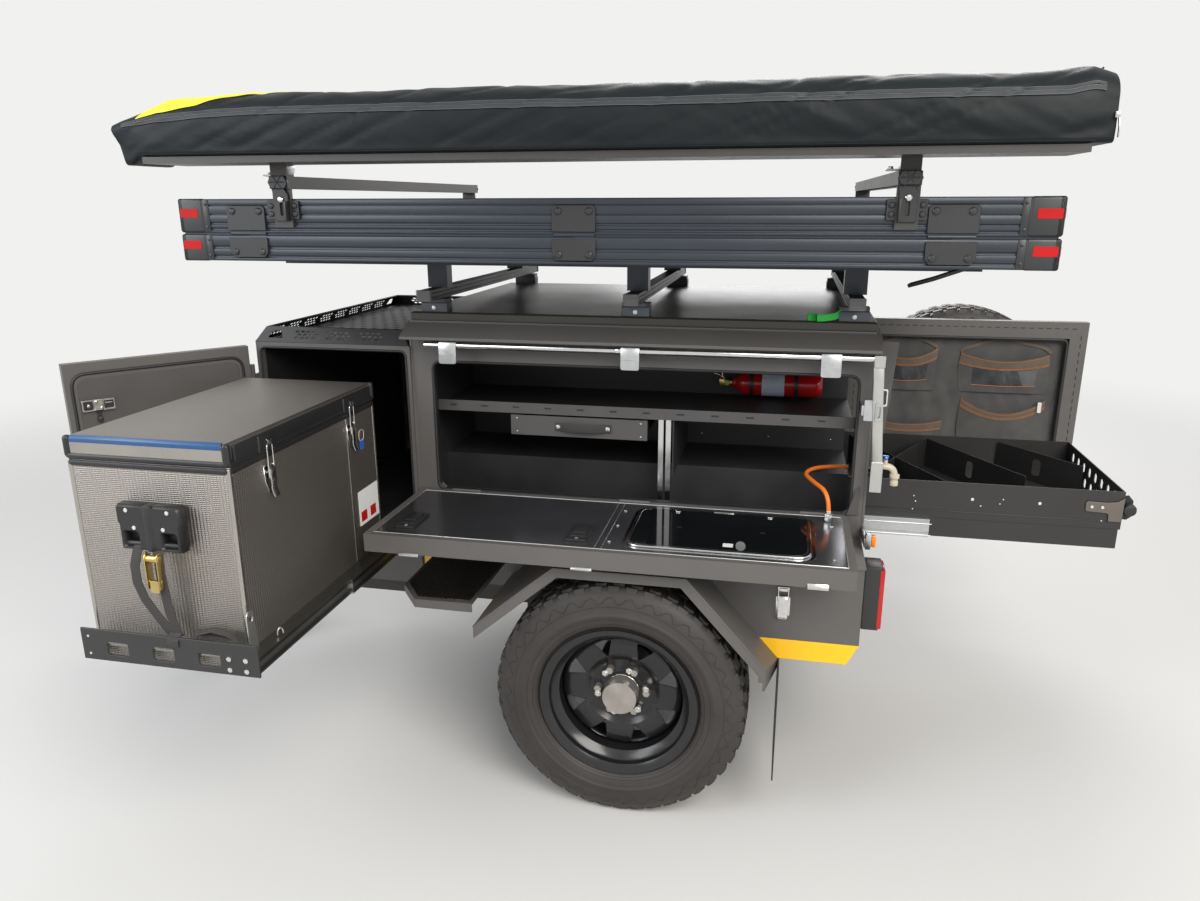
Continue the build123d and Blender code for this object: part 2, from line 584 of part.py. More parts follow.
TRAY_Z1 = SILL_Z + 485
TRAY_T = 3
with BuildPart() as nose_tray:
    with BuildSketch(Plane.XY.offset(NOSE_Z1)):
        with Locations(((NOSE_X0 + BODY_X0 - 4) / 2, 0)):
            Rectangle(BODY_X0 - 4 - NOSE_X0, 2 * NOSE_HALF)
    extrude(amount=TRAY_Z1 - NOSE_Z1, taper=30)
    offset(amount=-TRAY_T, openings=nose_tray.faces().sort_by(Axis.Z)[-1])
    for x in (NOSE_X0 + 65, BODY_X0 - 75):
        block((x - 20, x + 20), (-NOSE_HALF, NOSE_HALF), (NOSE_Z1 + 14, NOSE_Z1 + 34), Mode.SUBTRACT)
    for side in (-1, 1):
        y = side * (NOSE_HALF - 65)
        block((NOSE_X0, NOSE_X0 + 60), (y - 20, y + 20), (NOSE_Z1 + 14, NOSE_Z1 + 34), Mode.SUBTRACT)
keep("nose_tray", nose_tray.part)


def nose_door(side):
    """Side door of the nose box, shut, with its two hinge knuckles."""
    with BuildPart() as door:
        y0 = side * (NOSE_HALF + 6)
        y1 = side * (NOSE_HALF + 6 + NOSE_DOOR_T)
        block((NOSE_HINGE_X + 10, NOSE_HINGE_X + 10 + NOSE_DOOR_W), (y0, y1), (NOSE_DOOR_Z0, NOSE_DOOR_Z1))
        for z in NOSE_HINGE_ZS:
            rod(NOSE_HINGE_X, side * NOSE_HINGE_Y, z + KNUCKLE_L / 2 + GAP / 2, KNUCKLE_R, KNUCKLE_L,
                (0, 0, 1))
            block((NOSE_HINGE_X, NOSE_HINGE_X + 14), (side * NOSE_HINGE_Y, side * (NOSE_HINGE_Y + 7)),
                  (z + GAP / 2, z + KNUCKLE_L + GAP / 2))
    return door.part


NOSE_OPEN = 128
left_hinge = Axis((NOSE_HINGE_X, -NOSE_HINGE_Y, 0), (0, 0, 1))
keep("nose_door_left", nose_door(-1).rotate(left_hinge, -NOSE_OPEN))
keep("nose_door_right", nose_door(1))

# Kitchen inside the left opening
SHELF_Z = SILL_Z + 235
SHELF_Y = -BODY_HALF + 65
SHELF_T = 3
BACK_Y = -40
DIVIDER_X = AXLE_X + 88
with BuildPart() as kitchen_walls:
    block((INSIDE_X0, INSIDE_X1), (BACK_Y, BACK_Y + 6), (BAY_TOP + BAY_T, EAVE_Z))
    block((DIVIDER_X, DIVIDER_X + 4), (SHELF_Y + 5, BACK_Y), (BAY_TOP + BAY_T, SHELF_Z))
keep("kitchen_walls", kitchen_walls.part)

DRAW_X0 = AXLE_X - 405
DRAW_X1 = AXLE_X + 14
DRAW_Z0 = SHELF_Z - 66
with BuildPart() as kitchen_shelf:
    block((INSIDE_X0, INSIDE_X1), (SHELF_Y, BACK_Y), (SHELF_Z, SHELF_Z + SHELF_T))
    block((INSIDE_X0, INSIDE_X1), (SHELF_Y, SHELF_Y + SHELF_T), (SHELF_Z, SHELF_Z + 32))
    for x0 in (DRAW_X0 + 2, DRAW_X1 - 11):
        block((x0, x0 + 9), (SHELF_Y + 8, SHELF_Y + 340), (SHELF_Z - 36, SHELF_Z))
keep("kitchen_shelf", kitchen_shelf.part)

with BuildPart() as table_posts:
    for x in (AXLE_X + 46, AXLE_X + 68):
        block((x, x + 15), (SHELF_Y + 6, SHELF_Y + 21), (FLOOR_Z, SHELF_Z))
keep("table_posts", table_posts.part)

TUBE_Z = SILL_Z + 456
TUBE_Y = -BODY_HALF - 62
TUBE_R = 9.5
CLIP_XS = (AXLE_X - 546, AXLE_X - 16, AXLE_X + 520)
with BuildPart() as hanging_rail:
    rod((OPEN_X0 + OPEN_X1) / 2 + 15, TUBE_Y, TUBE_Z, TUBE_R, OPEN_X1 - OPEN_X0 + 40, (1, 0, 0))
    for x in (OPEN_X0 + 10, OPEN_X1 - 10):
        block((x - 5, x + 5), (TUBE_Y, -BODY_HALF), (TUBE_Z - 5, TUBE_Z + 5))
    for x in CLIP_XS:
        block((x - 26, x + 26), (TUBE_Y - TUBE_R - 3, TUBE_Y - TUBE_R + 1), (TUBE_Z - 54, TUBE_Z + 6))
keep("hanging_rail", hanging_rail.part)

BOTTLE_R = 40
BOTTLE_Y = BACK_Y - BOTTLE_R - 8
BOTTLE_Z = SILL_Z + 288
with BuildPart() as fire_extinguisher:
    rod(AXLE_X + 385, BOTTLE_Y, BOTTLE_Z, BOTTLE_R, 270, (1, 0, 0))
    fillet(fire_extinguisher.edges(), 18)
    rod(AXLE_X + 235, BOTTLE_Y, BOTTLE_Z, 12, 40, (1, 0, 0))
    block((AXLE_X + 180, AXLE_X + 228), (BOTTLE_Y - 8, BOTTLE_Y + 8), (BOTTLE_Z - 22, BOTTLE_Z + 30))
    block((AXLE_X + 330, AXLE_X + 345), (BOTTLE_Y, BACK_Y), (BOTTLE_Z - 12, BOTTLE_Z + 12))
keep("fire_extinguisher", fire_extinguisher.part)

with BuildPart() as cutlery_drawer:
    block((DRAW_X0, DRAW_X1), (SHELF_Y - 4, SHELF_Y), (DRAW_Z0, SHELF_Z - MOVE_GAP))
    block((DRAW_X0 + 11 + GAP, DRAW_X1 - 11 - GAP), (SHELF_Y, SHELF_Y + 320), (DRAW_Z0 + 4, SHELF_Z - 14))
    block((DRAW_X0 + 15, DRAW_X1 - 15), (SHELF_Y + 3, SHELF_Y + 317), (DRAW_Z0 + 7, SHELF_Z), Mode.SUBTRACT)
keep("cutlery_drawer", cutlery_drawer.part)


# Hatches: folded trays hinged along the sill; the left one lies level as a table
def hatch_tray(side):
    """Folded tray lying level, notched round the hinge barrels on the wall."""
    far = side * (HINGE_Y + HATCH_L)
    near = side * HINGE_Y
    with BuildPart() as tray:
        block((HATCH_X0, HATCH_X1), (near, far), (SILL_Z - HATCH_T, SILL_Z))
        block((HATCH_X0 + HATCH_RIM, HATCH_X1 - HATCH_RIM),
            (near + side * HATCH_RIM, far - side * HATCH_RIM),
              (SILL_Z - HATCH_T + HATCH_SKIN, SILL_Z + 1), Mode.SUBTRACT)
        for x in HINGE_XS:
            rod(x, near, SILL_Z, PIN_R + GAP, HINGE_L + 2 * GAP, (1, 0, 0), Mode.SUBTRACT)
    return tray.part


right_hinge = Axis((0, HINGE_Y, SILL_Z), (1, 0, 0))
keep("hatch_left", hatch_tray(-1))
keep("hatch_right", hatch_tray(1).rotate(right_hinge, 90))

TOP_T = 4
HOB_X0 = AXLE_X + 20
HOB_X1 = AXLE_X + 492
HOB_Y0 = -HINGE_Y - 350
HOB_Y1 = -HINGE_Y - 55
HOSE_X = AXLE_X + 540
HOSE_Y = -HINGE_Y - 57
UNION_L = 22
LID_PIN_XS = (HOB_X0 + 100, HOB_X1 - 120)
LID_PIN_R = 2.6
LID_PIN_L = 18
with BuildPart() as worktop:
    block((HATCH_X0 + HATCH_RIM + GAP, HATCH_X1 - HATCH_RIM - GAP),
          (-HINGE_Y - HATCH_L + HATCH_RIM + GAP, -HINGE_Y - HATCH_RIM - GAP), (SILL_Z - TOP_T, SILL_Z))
    block((HOB_X0 + 10, HOB_X1 - 10), (HOB_Y0 + 10, HOB_Y1 - 10), (SILL_Z - 34, SILL_Z - TOP_T))
    block((HOB_X0 + 12, HOB_X1 - 12), (HOB_Y0 + 12, HOB_Y1 - 12), (SILL_Z - 31, SILL_Z + 1), Mode.SUBTRACT)
    for x in (HOB_X0 + 125, HOB_X1 - 125):
        rod(x, (HOB_Y0 + HOB_Y1) / 2, SILL_Z - 25, 42, 12, (0, 0, 1))
        rod(x, (HOB_Y0 + HOB_Y1) / 2, SILL_Z - 16, 30, 8, (0, 0, 1))
    for x in (AXLE_X - 585, AXLE_X - 108):
        block((x - 25, x + 25), (-HINGE_Y - 340, -HINGE_Y - 230), (SILL_Z, SILL_Z + 6))
    rod(HOSE_X, HOSE_Y, SILL_Z + UNION_L / 2, 9, UNION_L, (0, 0, 1))
    for x in LID_PIN_XS:
        rod(x + LID_PIN_L + GAP, HOB_Y1, SILL_Z + GAP, LID_PIN_R, LID_PIN_L, (1, 0, 0))
        rod(x, HOB_Y1, SILL_Z + GAP, LID_PIN_R + GAP, LID_PIN_L + 2 * GAP, (1, 0, 0), Mode.SUBTRACT)
keep("worktop", worktop.part)
with BuildPart() as hob_lid:
    with BuildSketch(Plane.XY.offset(SILL_Z + GAP)):
        with Locations(((HOB_X0 + HOB_X1) / 2, (HOB_Y0 + HOB_Y1) / 2)):
            RectangleRounded(HOB_X1 - HOB_X0, HOB_Y1 - HOB_Y0, 30)
    extrude(amount=6)
    for x in LID_PIN_XS:
        rod(x + LID_PIN_L + GAP, HOB_Y1, SILL_Z + GAP, LID_PIN_R + GAP, LID_PIN_L + 2 * GAP, (1, 0, 0),
            Mode.SUBTRACT)
        rod(x, HOB_Y1, SILL_Z + GAP, LID_PIN_R, LID_PIN_L, (1, 0, 0))
keep("hob_lid", hob_lid.part)

# Slides: fixed rails of the fridge and of the rear drawer, one pair each
STAGE = 7
RAIL_XS = ((BAY_X0 + 1, 1), (BAY_X1 - 1, -1))
RAIL_Y0 = -NOSE_HALF + 20
D_STAGE = 13
D_RAIL_X0 = AXLE_X - 520
with BuildPart() as slide_rails_fixed:
    for x, into in RAIL_XS:
        block((x, x + into * STAGE), (RAIL_Y0, RAIL_Y0 + RAIL_L), (BAY_Z0, SLIDE_Z1))
    for side in (-1, 1):
        block((D_RAIL_X0, INSIDE_X1), (side * (BAY_HALF - D_STAGE), side * BAY_HALF),
            (D_RAIL_Z0, D_RAIL_Z1))
keep("slide_rails_fixed", slide_rails_fixed.part)

with BuildPart() as fridge_rails_middle:
    for x, into in RAIL_XS:
        xa = x + into * (STAGE + GAP)
        y0 = RAIL_Y0 - FRIDGE_TRAVEL / 2
        block((xa, xa + into * STAGE), (y0, y0 + RAIL_L), (SLIDE_Z0, SLIDE_Z1))
keep("fridge_rails_middle", fridge_rails_middle.part)

TRAY_Y0 = FACE_Y + 4
TRAY_IN = 2 * (STAGE + GAP)
PLATE_WINDOW_XS = (BAY_X0 + 102, BAY_X0 + 222, BAY_X0 + 340)
with BuildPart() as fridge_tray:
    for x, into in RAIL_XS:
        xa = x + into * TRAY_IN
        block((xa, xa + into * (STAGE + 1)), (TRAY_Y0, TRAY_Y0 + RAIL_L), (SLIDE_Z0, SLIDE_Z1))
    block((BAY_X0 + 1 + TRAY_IN, BAY_X1 - 1 - TRAY_IN), (TRAY_Y0, TRAY_Y0 + RAIL_L),
        (SLIDE_Z1 - 4, SLIDE_Z1))
    block((BAY_X0 + 8, BAY_X1 - 8), (FACE_Y, TRAY_Y0), (SLIDE_Z0 - 2, SLIDE_Z0 + 76))
    with BuildSketch(across(TRAY_Y0 + 1)):
        for x in PLATE_WINDOW_XS:
            with Locations((x, SLIDE_Z0 + 30)):
                RectangleRounded(56, 34, 7)
    extrude(amount=TRAY_Y0 - FACE_Y + 2, mode=Mode.SUBTRACT)
keep("fridge_tray", fridge_tray.part)

# Fridge: body with its chest, lid and the moulded handle block
FRIDGE_X1 = FRIDGE_X0 + FRIDGE_W
FRIDGE_Y1 = FRIDGE_Y0 + FRIDGE_L
FRIDGE_PIN_YS = (FRIDGE_Y0 + 110, FRIDGE_Y1 - 150)
FRIDGE_PIN_R = 3
FRIDGE_PIN_L = 40
with BuildPart() as fridge_body:
    block((FRIDGE_X0, FRIDGE_X1), (FRIDGE_Y0, FRIDGE_Y1), (SLIDE_Z1, FRIDGE_Z1))
    fillet(fridge_body.edges().filter_by(Axis.Z), 12)
    block((FRIDGE_X0 + 40, FRIDGE_X1 - 40), (FRIDGE_Y0 + 40, FRIDGE_Y0 + 510),
        (SLIDE_Z1 + 45, FRIDGE_Z1 + 1), Mode.SUBTRACT)
    for y in FRIDGE_PIN_YS:
        y += FRIDGE_PIN_L + GAP
        block((FRIDGE_X0 - LID_OVER - 1, FRIDGE_X0), (y - FRIDGE_PIN_L / 2, y + FRIDGE_PIN_L / 2),
            (FRIDGE_Z1 - 14, FRIDGE_Z1))
        rod(FRIDGE_X0 - LID_OVER, y, FRIDGE_Z1 + GAP, FRIDGE_PIN_R, FRIDGE_PIN_L, (0, 1, 0))
keep("fridge_body", fridge_body.part)
with BuildPart() as fridge_lid:
    block((FRIDGE_X0 - LID_OVER, FRIDGE_X1 + LID_OVER), (FRIDGE_Y0 - LID_OVER, FRIDGE_Y1 + LID_OVER),
          (FRIDGE_Z1 + GAP, FRIDGE_Z1 + LID_T))
    fillet(fridge_lid.edges().filter_by(Axis.Z), 14)
    for y in FRIDGE_PIN_YS:
        rod(FRIDGE_X0 - LID_OVER, y + FRIDGE_PIN_L + GAP, FRIDGE_Z1 + GAP, FRIDGE_PIN_R + GAP,
            FRIDGE_PIN_L + 2 * GAP, (0, 1, 0),
            Mode.SUBTRACT)
        rod(FRIDGE_X0 - LID_OVER, y, FRIDGE_Z1 + GAP, FRIDGE_PIN_R, FRIDGE_PIN_L, (0, 1, 0))
keep("fridge_lid", fridge_lid.part)
with BuildPart() as fridge_handle:
    block((AXLE_X - 1035, AXLE_X - 872), (FRIDGE_Y0 - 34, FRIDGE_Y0), (SILL_Z + 100, SILL_Z + 215))
keep("fridge_handle", fridge_handle.part)

# Rear door, open, with the spare wheel on its outer face and a pocket panel inside
with BuildPart() as rear_door:
    block((DOOR_X0, DOOR_X0 + DOOR_W), (DOOR_Y0, DOOR_Y0 + DOOR_T), (DOOR_Z0, DOOR_Z1))
    block((DOOR_X0 + DOOR_RIM, DOOR_X0 + DOOR_W - DOOR_RIM), (DOOR_Y0 - 1, DOOR_Y0 + DOOR_T - 3),
          (DOOR_Z0 + DOOR_RIM, DOOR_Z1 - DOOR_RIM), Mode.SUBTRACT)
    for z in DOOR_HINGE_ZS:
        block((DOOR_AXIS_X + 6, DOOR_X0), (DOOR_Y0 + 6, DOOR_Y0 + 14), (z - 30, z + 30))
        block((DOOR_AXIS_X - 8, DOOR_AXIS_X + 8), (DOOR_AXIS_Y, DOOR_Y0 + 14), (z - 30, z + 30))
        rod(DOOR_AXIS_X, DOOR_AXIS_Y, z, 12, 61.4, (0, 0, 1))
    rod(SPARE_X, (DOOR_Y0 + DOOR_T + SPARE_Y + 1.7) / 2, SPARE_Z, 60, SPARE_Y + 1.7 - DOOR_Y0 - DOOR_T,
        (0, 1, 0))
    block((SPARE_X - 130, SPARE_X + 130), (DOOR_Y0 + DOOR_T, DOOR_Y0 + DOOR_T + 8),
        (SPARE_Z - 90, SPARE_Z + 90))
keep("rear_door", rear_door.part)
with BuildPart() as door_pockets:
    block((DOOR_X0 + DOOR_RIM + 6, DOOR_X0 + DOOR_W - DOOR_RIM - 6),
        (DOOR_Y0 + 6, DOOR_Y0 + DOOR_T - 3 - GAP),
          (BAY_TOP - 180, DOOR_Z1 - DOOR_RIM - 6))
keep("door_pockets", door_pockets.part)
keep("spare_tyre", tyre_at(SPARE_X, SPARE_Y, SPARE_Z))
keep("spare_rim", rim_at(SPARE_X, SPARE_Y, SPARE_Z, 1))

# Rear drawer on its middle rails
DRAWER_T = 3
HOLE_STEP = 58
HOLE_W = 24
HOLE_H = 18
INNER_RAIL_Y = BAY_HALF - 2 * (D_STAGE + GAP)
with BuildPart() as rear_drawer:
    block((DRAWER_X1 - DRAWER_L, DRAWER_X1), (-DRAWER_HALF, DRAWER_HALF), (DRAWER_Z0, DRAWER_Z1))
    block((DRAWER_X1 - DRAWER_L + DRAWER_T, DRAWER_X1 - DRAWER_T),
        (-DRAWER_HALF + DRAWER_T, DRAWER_HALF - DRAWER_T),
          (DRAWER_Z0 + DRAWER_T, DRAWER_Z1 + 1), Mode.SUBTRACT)
    for side in (-1, 1):
        block((DRAWER_X1 - DRAWER_L, DRAWER_X1 - 6), (side * (INNER_RAIL_Y - 12), side * INNER_RAIL_Y),
            (D_RAIL_Z0, DRAWER_Z0))
    with BuildSketch(section(DRAWER_X1 - DRAWER_T - 1)):
        for row, (z, count) in enumerate(((DRAWER_Z0 + 34, 7), (DRAWER_Z0 + 78, 8))):
            for i in range(count):
                with Locations(((i - (count - 1) / 2) * HOLE_STEP, z)):
                    Polygon((-HOLE_W / 2, -HOLE_H / 2), (0, -HOLE_H), (HOLE_W / 2, -HOLE_H / 2),
                        (HOLE_W / 2, HOLE_H / 2),
                            (0, HOLE_H), (-HOLE_W / 2, HOLE_H / 2))
    extrude(amount=DRAWER_T + 2, mode=Mode.SUBTRACT)
keep("rear_drawer", rear_drawer.part)
with BuildPart() as drawer_rails_middle:
    for side in (-1, 1):
        y0 = BAY_HALF - D_STAGE - GAP
        block((AXLE_X - 20, AXLE_X + 850), (side * y0, side * (y0 - D_STAGE)), (D_RAIL_Z0, D_RAIL_Z1))
keep("drawer_rails_middle", drawer_rails_middle.part)

# Roof bars and the hard-shell tent
BAR_HALF = BODY_HALF + 70
FOOT_Y = BODY_HALF - 28
with BuildPart() as roof_bars:
    for x in BAR_XS:
        block((x - 19, x + 19), (-BAR_HALF, BAR_HALF), (BAR_Z0, BAR_Z1))
        for side in (-1, 1):
            block((x - 38, x + 38), (side * FOOT_Y - 20, side * FOOT_Y + 20), (ROOF_Z + ROOF_T, BAR_Z0))
keep("roof_bars", roof_bars.part)

TENT_Y1 = TENT_Y0 + TENT_W
TENT_HINGE_XS = (AXLE_X - 981, AXLE_X - 112, AXLE_X + 746)
CHANNEL_YS = (-430, 330)
CHANNEL_T = 30
TENT_PIN_R = 5
TENT_PIN_L = 50
LEAF_W = 104
with BuildPart() as tent_base:
    block((TENT_X0, TENT_X1), (TENT_Y0, TENT_Y1), (TENT_Z0, TENT_SPLIT))
    block((TENT_X0 + TENT_FRAME, TENT_X1 - TENT_FRAME), (TENT_Y0 + TENT_FRAME, TENT_Y1 - TENT_FRAME),
          (TENT_Z0 + SHELL_T, TENT_SPLIT + 1), Mode.SUBTRACT)
    for y in CHANNEL_YS:
        block((TENT_X0 + 80, TENT_X1 - 80), (y - 30, y + 30), (TENT_Z0 - CHANNEL_T, TENT_Z0))
        for x in BAR_XS:
            block((x - 30, x + 30), (y - 20, y + 20), (BAR_Z1, TENT_Z0 - CHANNEL_T))
    for x in TENT_HINGE_XS:
        low, high = x + GAP / 2, x + TENT_PIN_L + GAP / 2
        block((x - LEAF_W / 2, x + LEAF_W / 2), (TENT_Y0 - 3, TENT_Y0), (TENT_SPLIT - 50, TENT_SPLIT - 8))
        block((low, high), (TENT_Y0 - 3, TENT_Y0), (TENT_SPLIT - 10, TENT_SPLIT))
        rod((low + high) / 2, TENT_Y0, TENT_SPLIT + GAP, TENT_PIN_R, TENT_PIN_L, (1, 0, 0))
        rod(x - TENT_PIN_L / 2 - GAP / 2, TENT_Y0, TENT_SPLIT + GAP, TENT_PIN_R + GAP, TENT_PIN_L + GAP,
            (1, 0, 0), Mode.SUBTRACT)
keep("tent_base", tent_base.part)
with BuildPart() as tent_mattress:
    inset = TENT_FRAME + 5
    block((TENT_X0 + inset, TENT_X1 - inset), (TENT_Y0 + inset, TENT_Y1 - inset),
        (TENT_Z0 + SHELL_T + GAP, TENT_SPLIT - 2))
keep("tent_mattress", tent_mattress.part)
with BuildPart() as tent_lid:
    block((TENT_X0, TENT_X1), (TENT_Y0, TENT_Y1), (TENT_SPLIT + GAP, TENT_Z1))
    block((TENT_X0 + TENT_FRAME, TENT_X1 - TENT_FRAME), (TENT_Y0 + TENT_FRAME, TENT_Y1 - TENT_FRAME),
          (TENT_SPLIT, TENT_Z1 - SHELL_T), Mode.SUBTRACT)
    for x in TENT_HINGE_XS:
        low, high = x - TENT_PIN_L - GAP / 2, x - GAP / 2
        block((x - LEAF_W / 2, x + LEAF_W / 2), (TENT_Y0 - 3, TENT_Y0), (TENT_SPLIT + 8, TENT_SPLIT + 58))
        rod(x + TENT_PIN_L / 2 + GAP / 2, TENT_Y0, TENT_SPLIT + GAP, TENT_PIN_R + GAP, TENT_PIN_L + GAP,
            (1, 0, 0), Mode.SUBTRACT)
        block((low, high), (TENT_Y0 - 3, TENT_Y0), (TENT_SPLIT + GAP, TENT_SPLIT + 10))
        rod((low + high) / 2, TENT_Y0, TENT_SPLIT + GAP, TENT_PIN_R, TENT_PIN_L, (1, 0, 0))
keep("tent_lid", tent_lid.part)

TOP_BAR_T = 30
BAG_Z0 = SILL_Z + 960
BOARD_Z0 = BAG_Z0 - 16
BAG_Z1 = SILL_Z + 1110
with BuildPart() as top_bars:
    for x in (AXLE_X - 872, AXLE_X + 646):
        block((x - 25, x + 25), (TENT_Y0 - 20, TENT_Y1), (TOP_BAR_Z0, TOP_BAR_Z0 + TOP_BAR_T))
        block((x - 25, x + 25), (TENT_Y0 - 10, TENT_Y0), (TENT_SPLIT + 16, TOP_BAR_Z0))
        block((x - 25, x + 25), (TENT_Y1 - 40, TENT_Y1 - 30), (TENT_Z1, TOP_BAR_Z0))
        block((x - 22, x + 22), (TENT_Y0 - 16, TENT_Y0 - 10), (TOP_BAR_Z0 + TOP_BAR_T, BOARD_Z0))
        block((x - 22, x + 22), (TENT_Y0 - 16, TENT_Y0 + 20),
            (TOP_BAR_Z0 + TOP_BAR_T, TOP_BAR_Z0 + TOP_BAR_T + 4))
    block((BAG_X0 + 30, BAG_X1 - 40), (-925, -755), (BOARD_Z0, BAG_Z0 - GAP))
keep("top_bars", top_bars.part)
with BuildPart() as awning_bag:
    block((BAG_X0, BAG_X1), (-940, -740), (BAG_Z0, BAG_Z1))
    fillet(awning_bag.edges().filter_by(Axis.X), 45)
keep("awning_bag", awning_bag.part)

# Gas hose from the wall to the hob
HOSE_R = 6
HOSE_BEND = 22
with BuildPart() as gas_hose:
    route = ((OPEN_X1 - 1, SHELF_Y + 95, SILL_Z + 95), (OPEN_X1 - 75, SHELF_Y + 80, SILL_Z + 98),
        (OPEN_X1 - 130, SHELF_Y + 25, SILL_Z + 92),
             (OPEN_X1 - 105, SHELF_Y - 45, SILL_Z + 88), (HOSE_X, HOSE_Y, SILL_Z + 80),
                 (HOSE_X, HOSE_Y, SILL_Z + UNION_L))
    with BuildLine() as hose_path:
        FilletPolyline(*route, radius=HOSE_BEND)
    with BuildSketch(Plane(origin=hose_path.line @ 0, z_dir=hose_path.line % 0)):
        Circle(HOSE_R)
    sweep()
keep("gas_hose", gas_hose.part)

os.makedirs("parts", exist_ok=True)
for name, piece in parts.items():
    export_step(piece, f"parts/{name}.step")
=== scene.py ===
import math

import bmesh
import bpy
from mathutils import Matrix, Vector, noise


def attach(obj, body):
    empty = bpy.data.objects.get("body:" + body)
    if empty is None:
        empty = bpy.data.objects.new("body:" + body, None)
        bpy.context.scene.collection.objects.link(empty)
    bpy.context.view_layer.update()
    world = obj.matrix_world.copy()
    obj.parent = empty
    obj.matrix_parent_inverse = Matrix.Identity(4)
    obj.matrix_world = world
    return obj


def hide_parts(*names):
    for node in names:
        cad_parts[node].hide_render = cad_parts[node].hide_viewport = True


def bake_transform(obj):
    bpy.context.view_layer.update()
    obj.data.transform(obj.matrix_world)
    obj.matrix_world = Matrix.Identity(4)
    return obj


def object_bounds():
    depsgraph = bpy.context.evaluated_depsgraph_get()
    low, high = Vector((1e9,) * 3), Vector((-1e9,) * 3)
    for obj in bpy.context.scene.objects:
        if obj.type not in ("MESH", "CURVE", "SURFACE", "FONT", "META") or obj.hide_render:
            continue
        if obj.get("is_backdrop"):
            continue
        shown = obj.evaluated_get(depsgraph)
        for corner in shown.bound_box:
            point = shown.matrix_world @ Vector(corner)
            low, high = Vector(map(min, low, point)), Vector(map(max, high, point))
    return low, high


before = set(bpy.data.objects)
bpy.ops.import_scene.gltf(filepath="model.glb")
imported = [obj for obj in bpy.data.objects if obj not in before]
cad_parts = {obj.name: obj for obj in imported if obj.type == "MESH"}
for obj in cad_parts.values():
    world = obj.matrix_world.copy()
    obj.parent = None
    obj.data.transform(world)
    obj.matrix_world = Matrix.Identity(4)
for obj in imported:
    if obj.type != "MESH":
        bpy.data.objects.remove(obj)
cad_low, cad_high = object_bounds()
bpy.ops.object.select_all(action="DESELECT")

# Camera.
# It stands by the left wheel at chest height, turned a little forward and down,
# with the wide lens of a hand-held picture.
AXLE_X, GROUND_Z = 1.95, -0.53


def at(x, y, z):
    """A point measured from the ground under the axle: rearwards, to the right, up."""
    return Vector((AXLE_X + x, y, GROUND_Z + z))


bpy.ops.object.camera_add(
    location=at(0.399, -2.921, 1.684),
    rotation=(math.radians(74.17), math.radians(0.15), math.radians(11.91)),
)
eye = bpy.context.object
eye.name = "view"
eye.data.sensor_width = 36
eye.data.lens = 26.44
eye.data.clip_start = 0.05
bpy.context.scene.camera = eye

# Gas hose.
# An orange rubber hose, 12 mm thick, that comes out of the wall beside the kitchen
# and hangs in a loose bend to the brass union on the hob.


def pick(*pieces):
    """Select these pieces alone, the first of them active."""
    bpy.ops.object.select_all(action="DESELECT")
    for piece in pieces:
        piece.select_set(True)
    bpy.context.view_layer.objects.active = pieces[0]


def dress(piece, body, finish, slot, *nodes):
    """Lay a piece's place into its mesh, give it its finish and let it ride on its body."""
    pick(piece)
    bpy.ops.object.transform_apply(location=True, rotation=True, scale=True)
    piece.data.materials.clear()
    piece.data.materials.append(finish)
    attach(piece, body)
    if nodes:
        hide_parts(*nodes)


def blank(name):
    """A new finish with nothing on it yet."""
    finish = bpy.data.materials.new(name)
    finish.use_nodes = True
    return finish


def feed(tree, node, *values, **named):
    """Set a node's options (small letters) and inputs (in their order, or capitals) to values or results."""
    for name, value in named.items():
        if name[0].islower():
            setattr(node, name, value)
    inputs = dict(enumerate(values))
    inputs.update({name.replace("_", " "): value for name, value in named.items() if name[0].isupper()})
    for name, value in inputs.items():
        if isinstance(value, bpy.types.NodeSocket):
            tree.links.new(value, node.inputs[name])
        else:
            node.inputs[name].default_value = value


def layer(finish, kind, result, *values, **named):
    """Add a node to a finish and return its result."""
    node = finish.node_tree.nodes.new("ShaderNode" + kind)
    feed(finish.node_tree, node, *values, **named)
    return node.outputs[result]


def coat(finish, **named):
    """Set what the finish's own shader takes."""
    feed(finish.node_tree, finish.node_tree.nodes["Principled BSDF"], **named)


def finish_of(name, colour, rough, metal=0.0, grain=700.0, bump=0.2, depth=0.0002, vary=0.12, patch=9.0):
    """A surface with fine grain in relief and slow changes in tone and gloss."""
    made = blank(name)
    place = layer(made, "TexCoord", "Object")
    slow = layer(made, "TexNoise", "Fac", Vector=place, Scale=patch, Detail=5)
    darker, lighter = [(*[min(1, c * share) for c in colour], 1) for share in (1 - vary, 1 + vary)]
    tone = layer(made, "Mix", "Result", data_type="RGBA", Factor=slow, A=darker, B=lighter)
    gloss = layer(
        made, "MapRange", "Result", Value=slow, To_Min=max(0.03, rough - 0.07), To_Max=min(1.0, rough + 0.07),
    )
    fine = layer(made, "TexNoise", "Fac", Vector=place, Scale=grain, Detail=2)
    relief = layer(made, "Bump", "Normal", Height=fine, Strength=bump, Distance=depth)
    coat(made, Base_Color=tone, Metallic=metal, Roughness=gloss, Normal=relief)
    return made


def placed(name, shape):
    """Put a mesh or a curve into the scene as a piece."""
    piece = bpy.data.objects.new(name, shape)
    bpy.context.scene.collection.objects.link(piece)
    return piece


def run(name, points, smooth=True):
    """A curve through its points: a smooth line, or straight runs."""
    line = bpy.data.curves.new(name, "CURVE")
    line.dimensions = "3D"
    spline = line.splines.new("NURBS" if smooth else "POLY")
    spline.points.add(len(points) - 1)
    for knot, place in zip(spline.points, points):
        knot.co = (*place, 1)
    if smooth:
        spline.order_u = 3
        spline.use_endpoint_u = True
        spline.resolution_u = 12
    return placed(name, line)


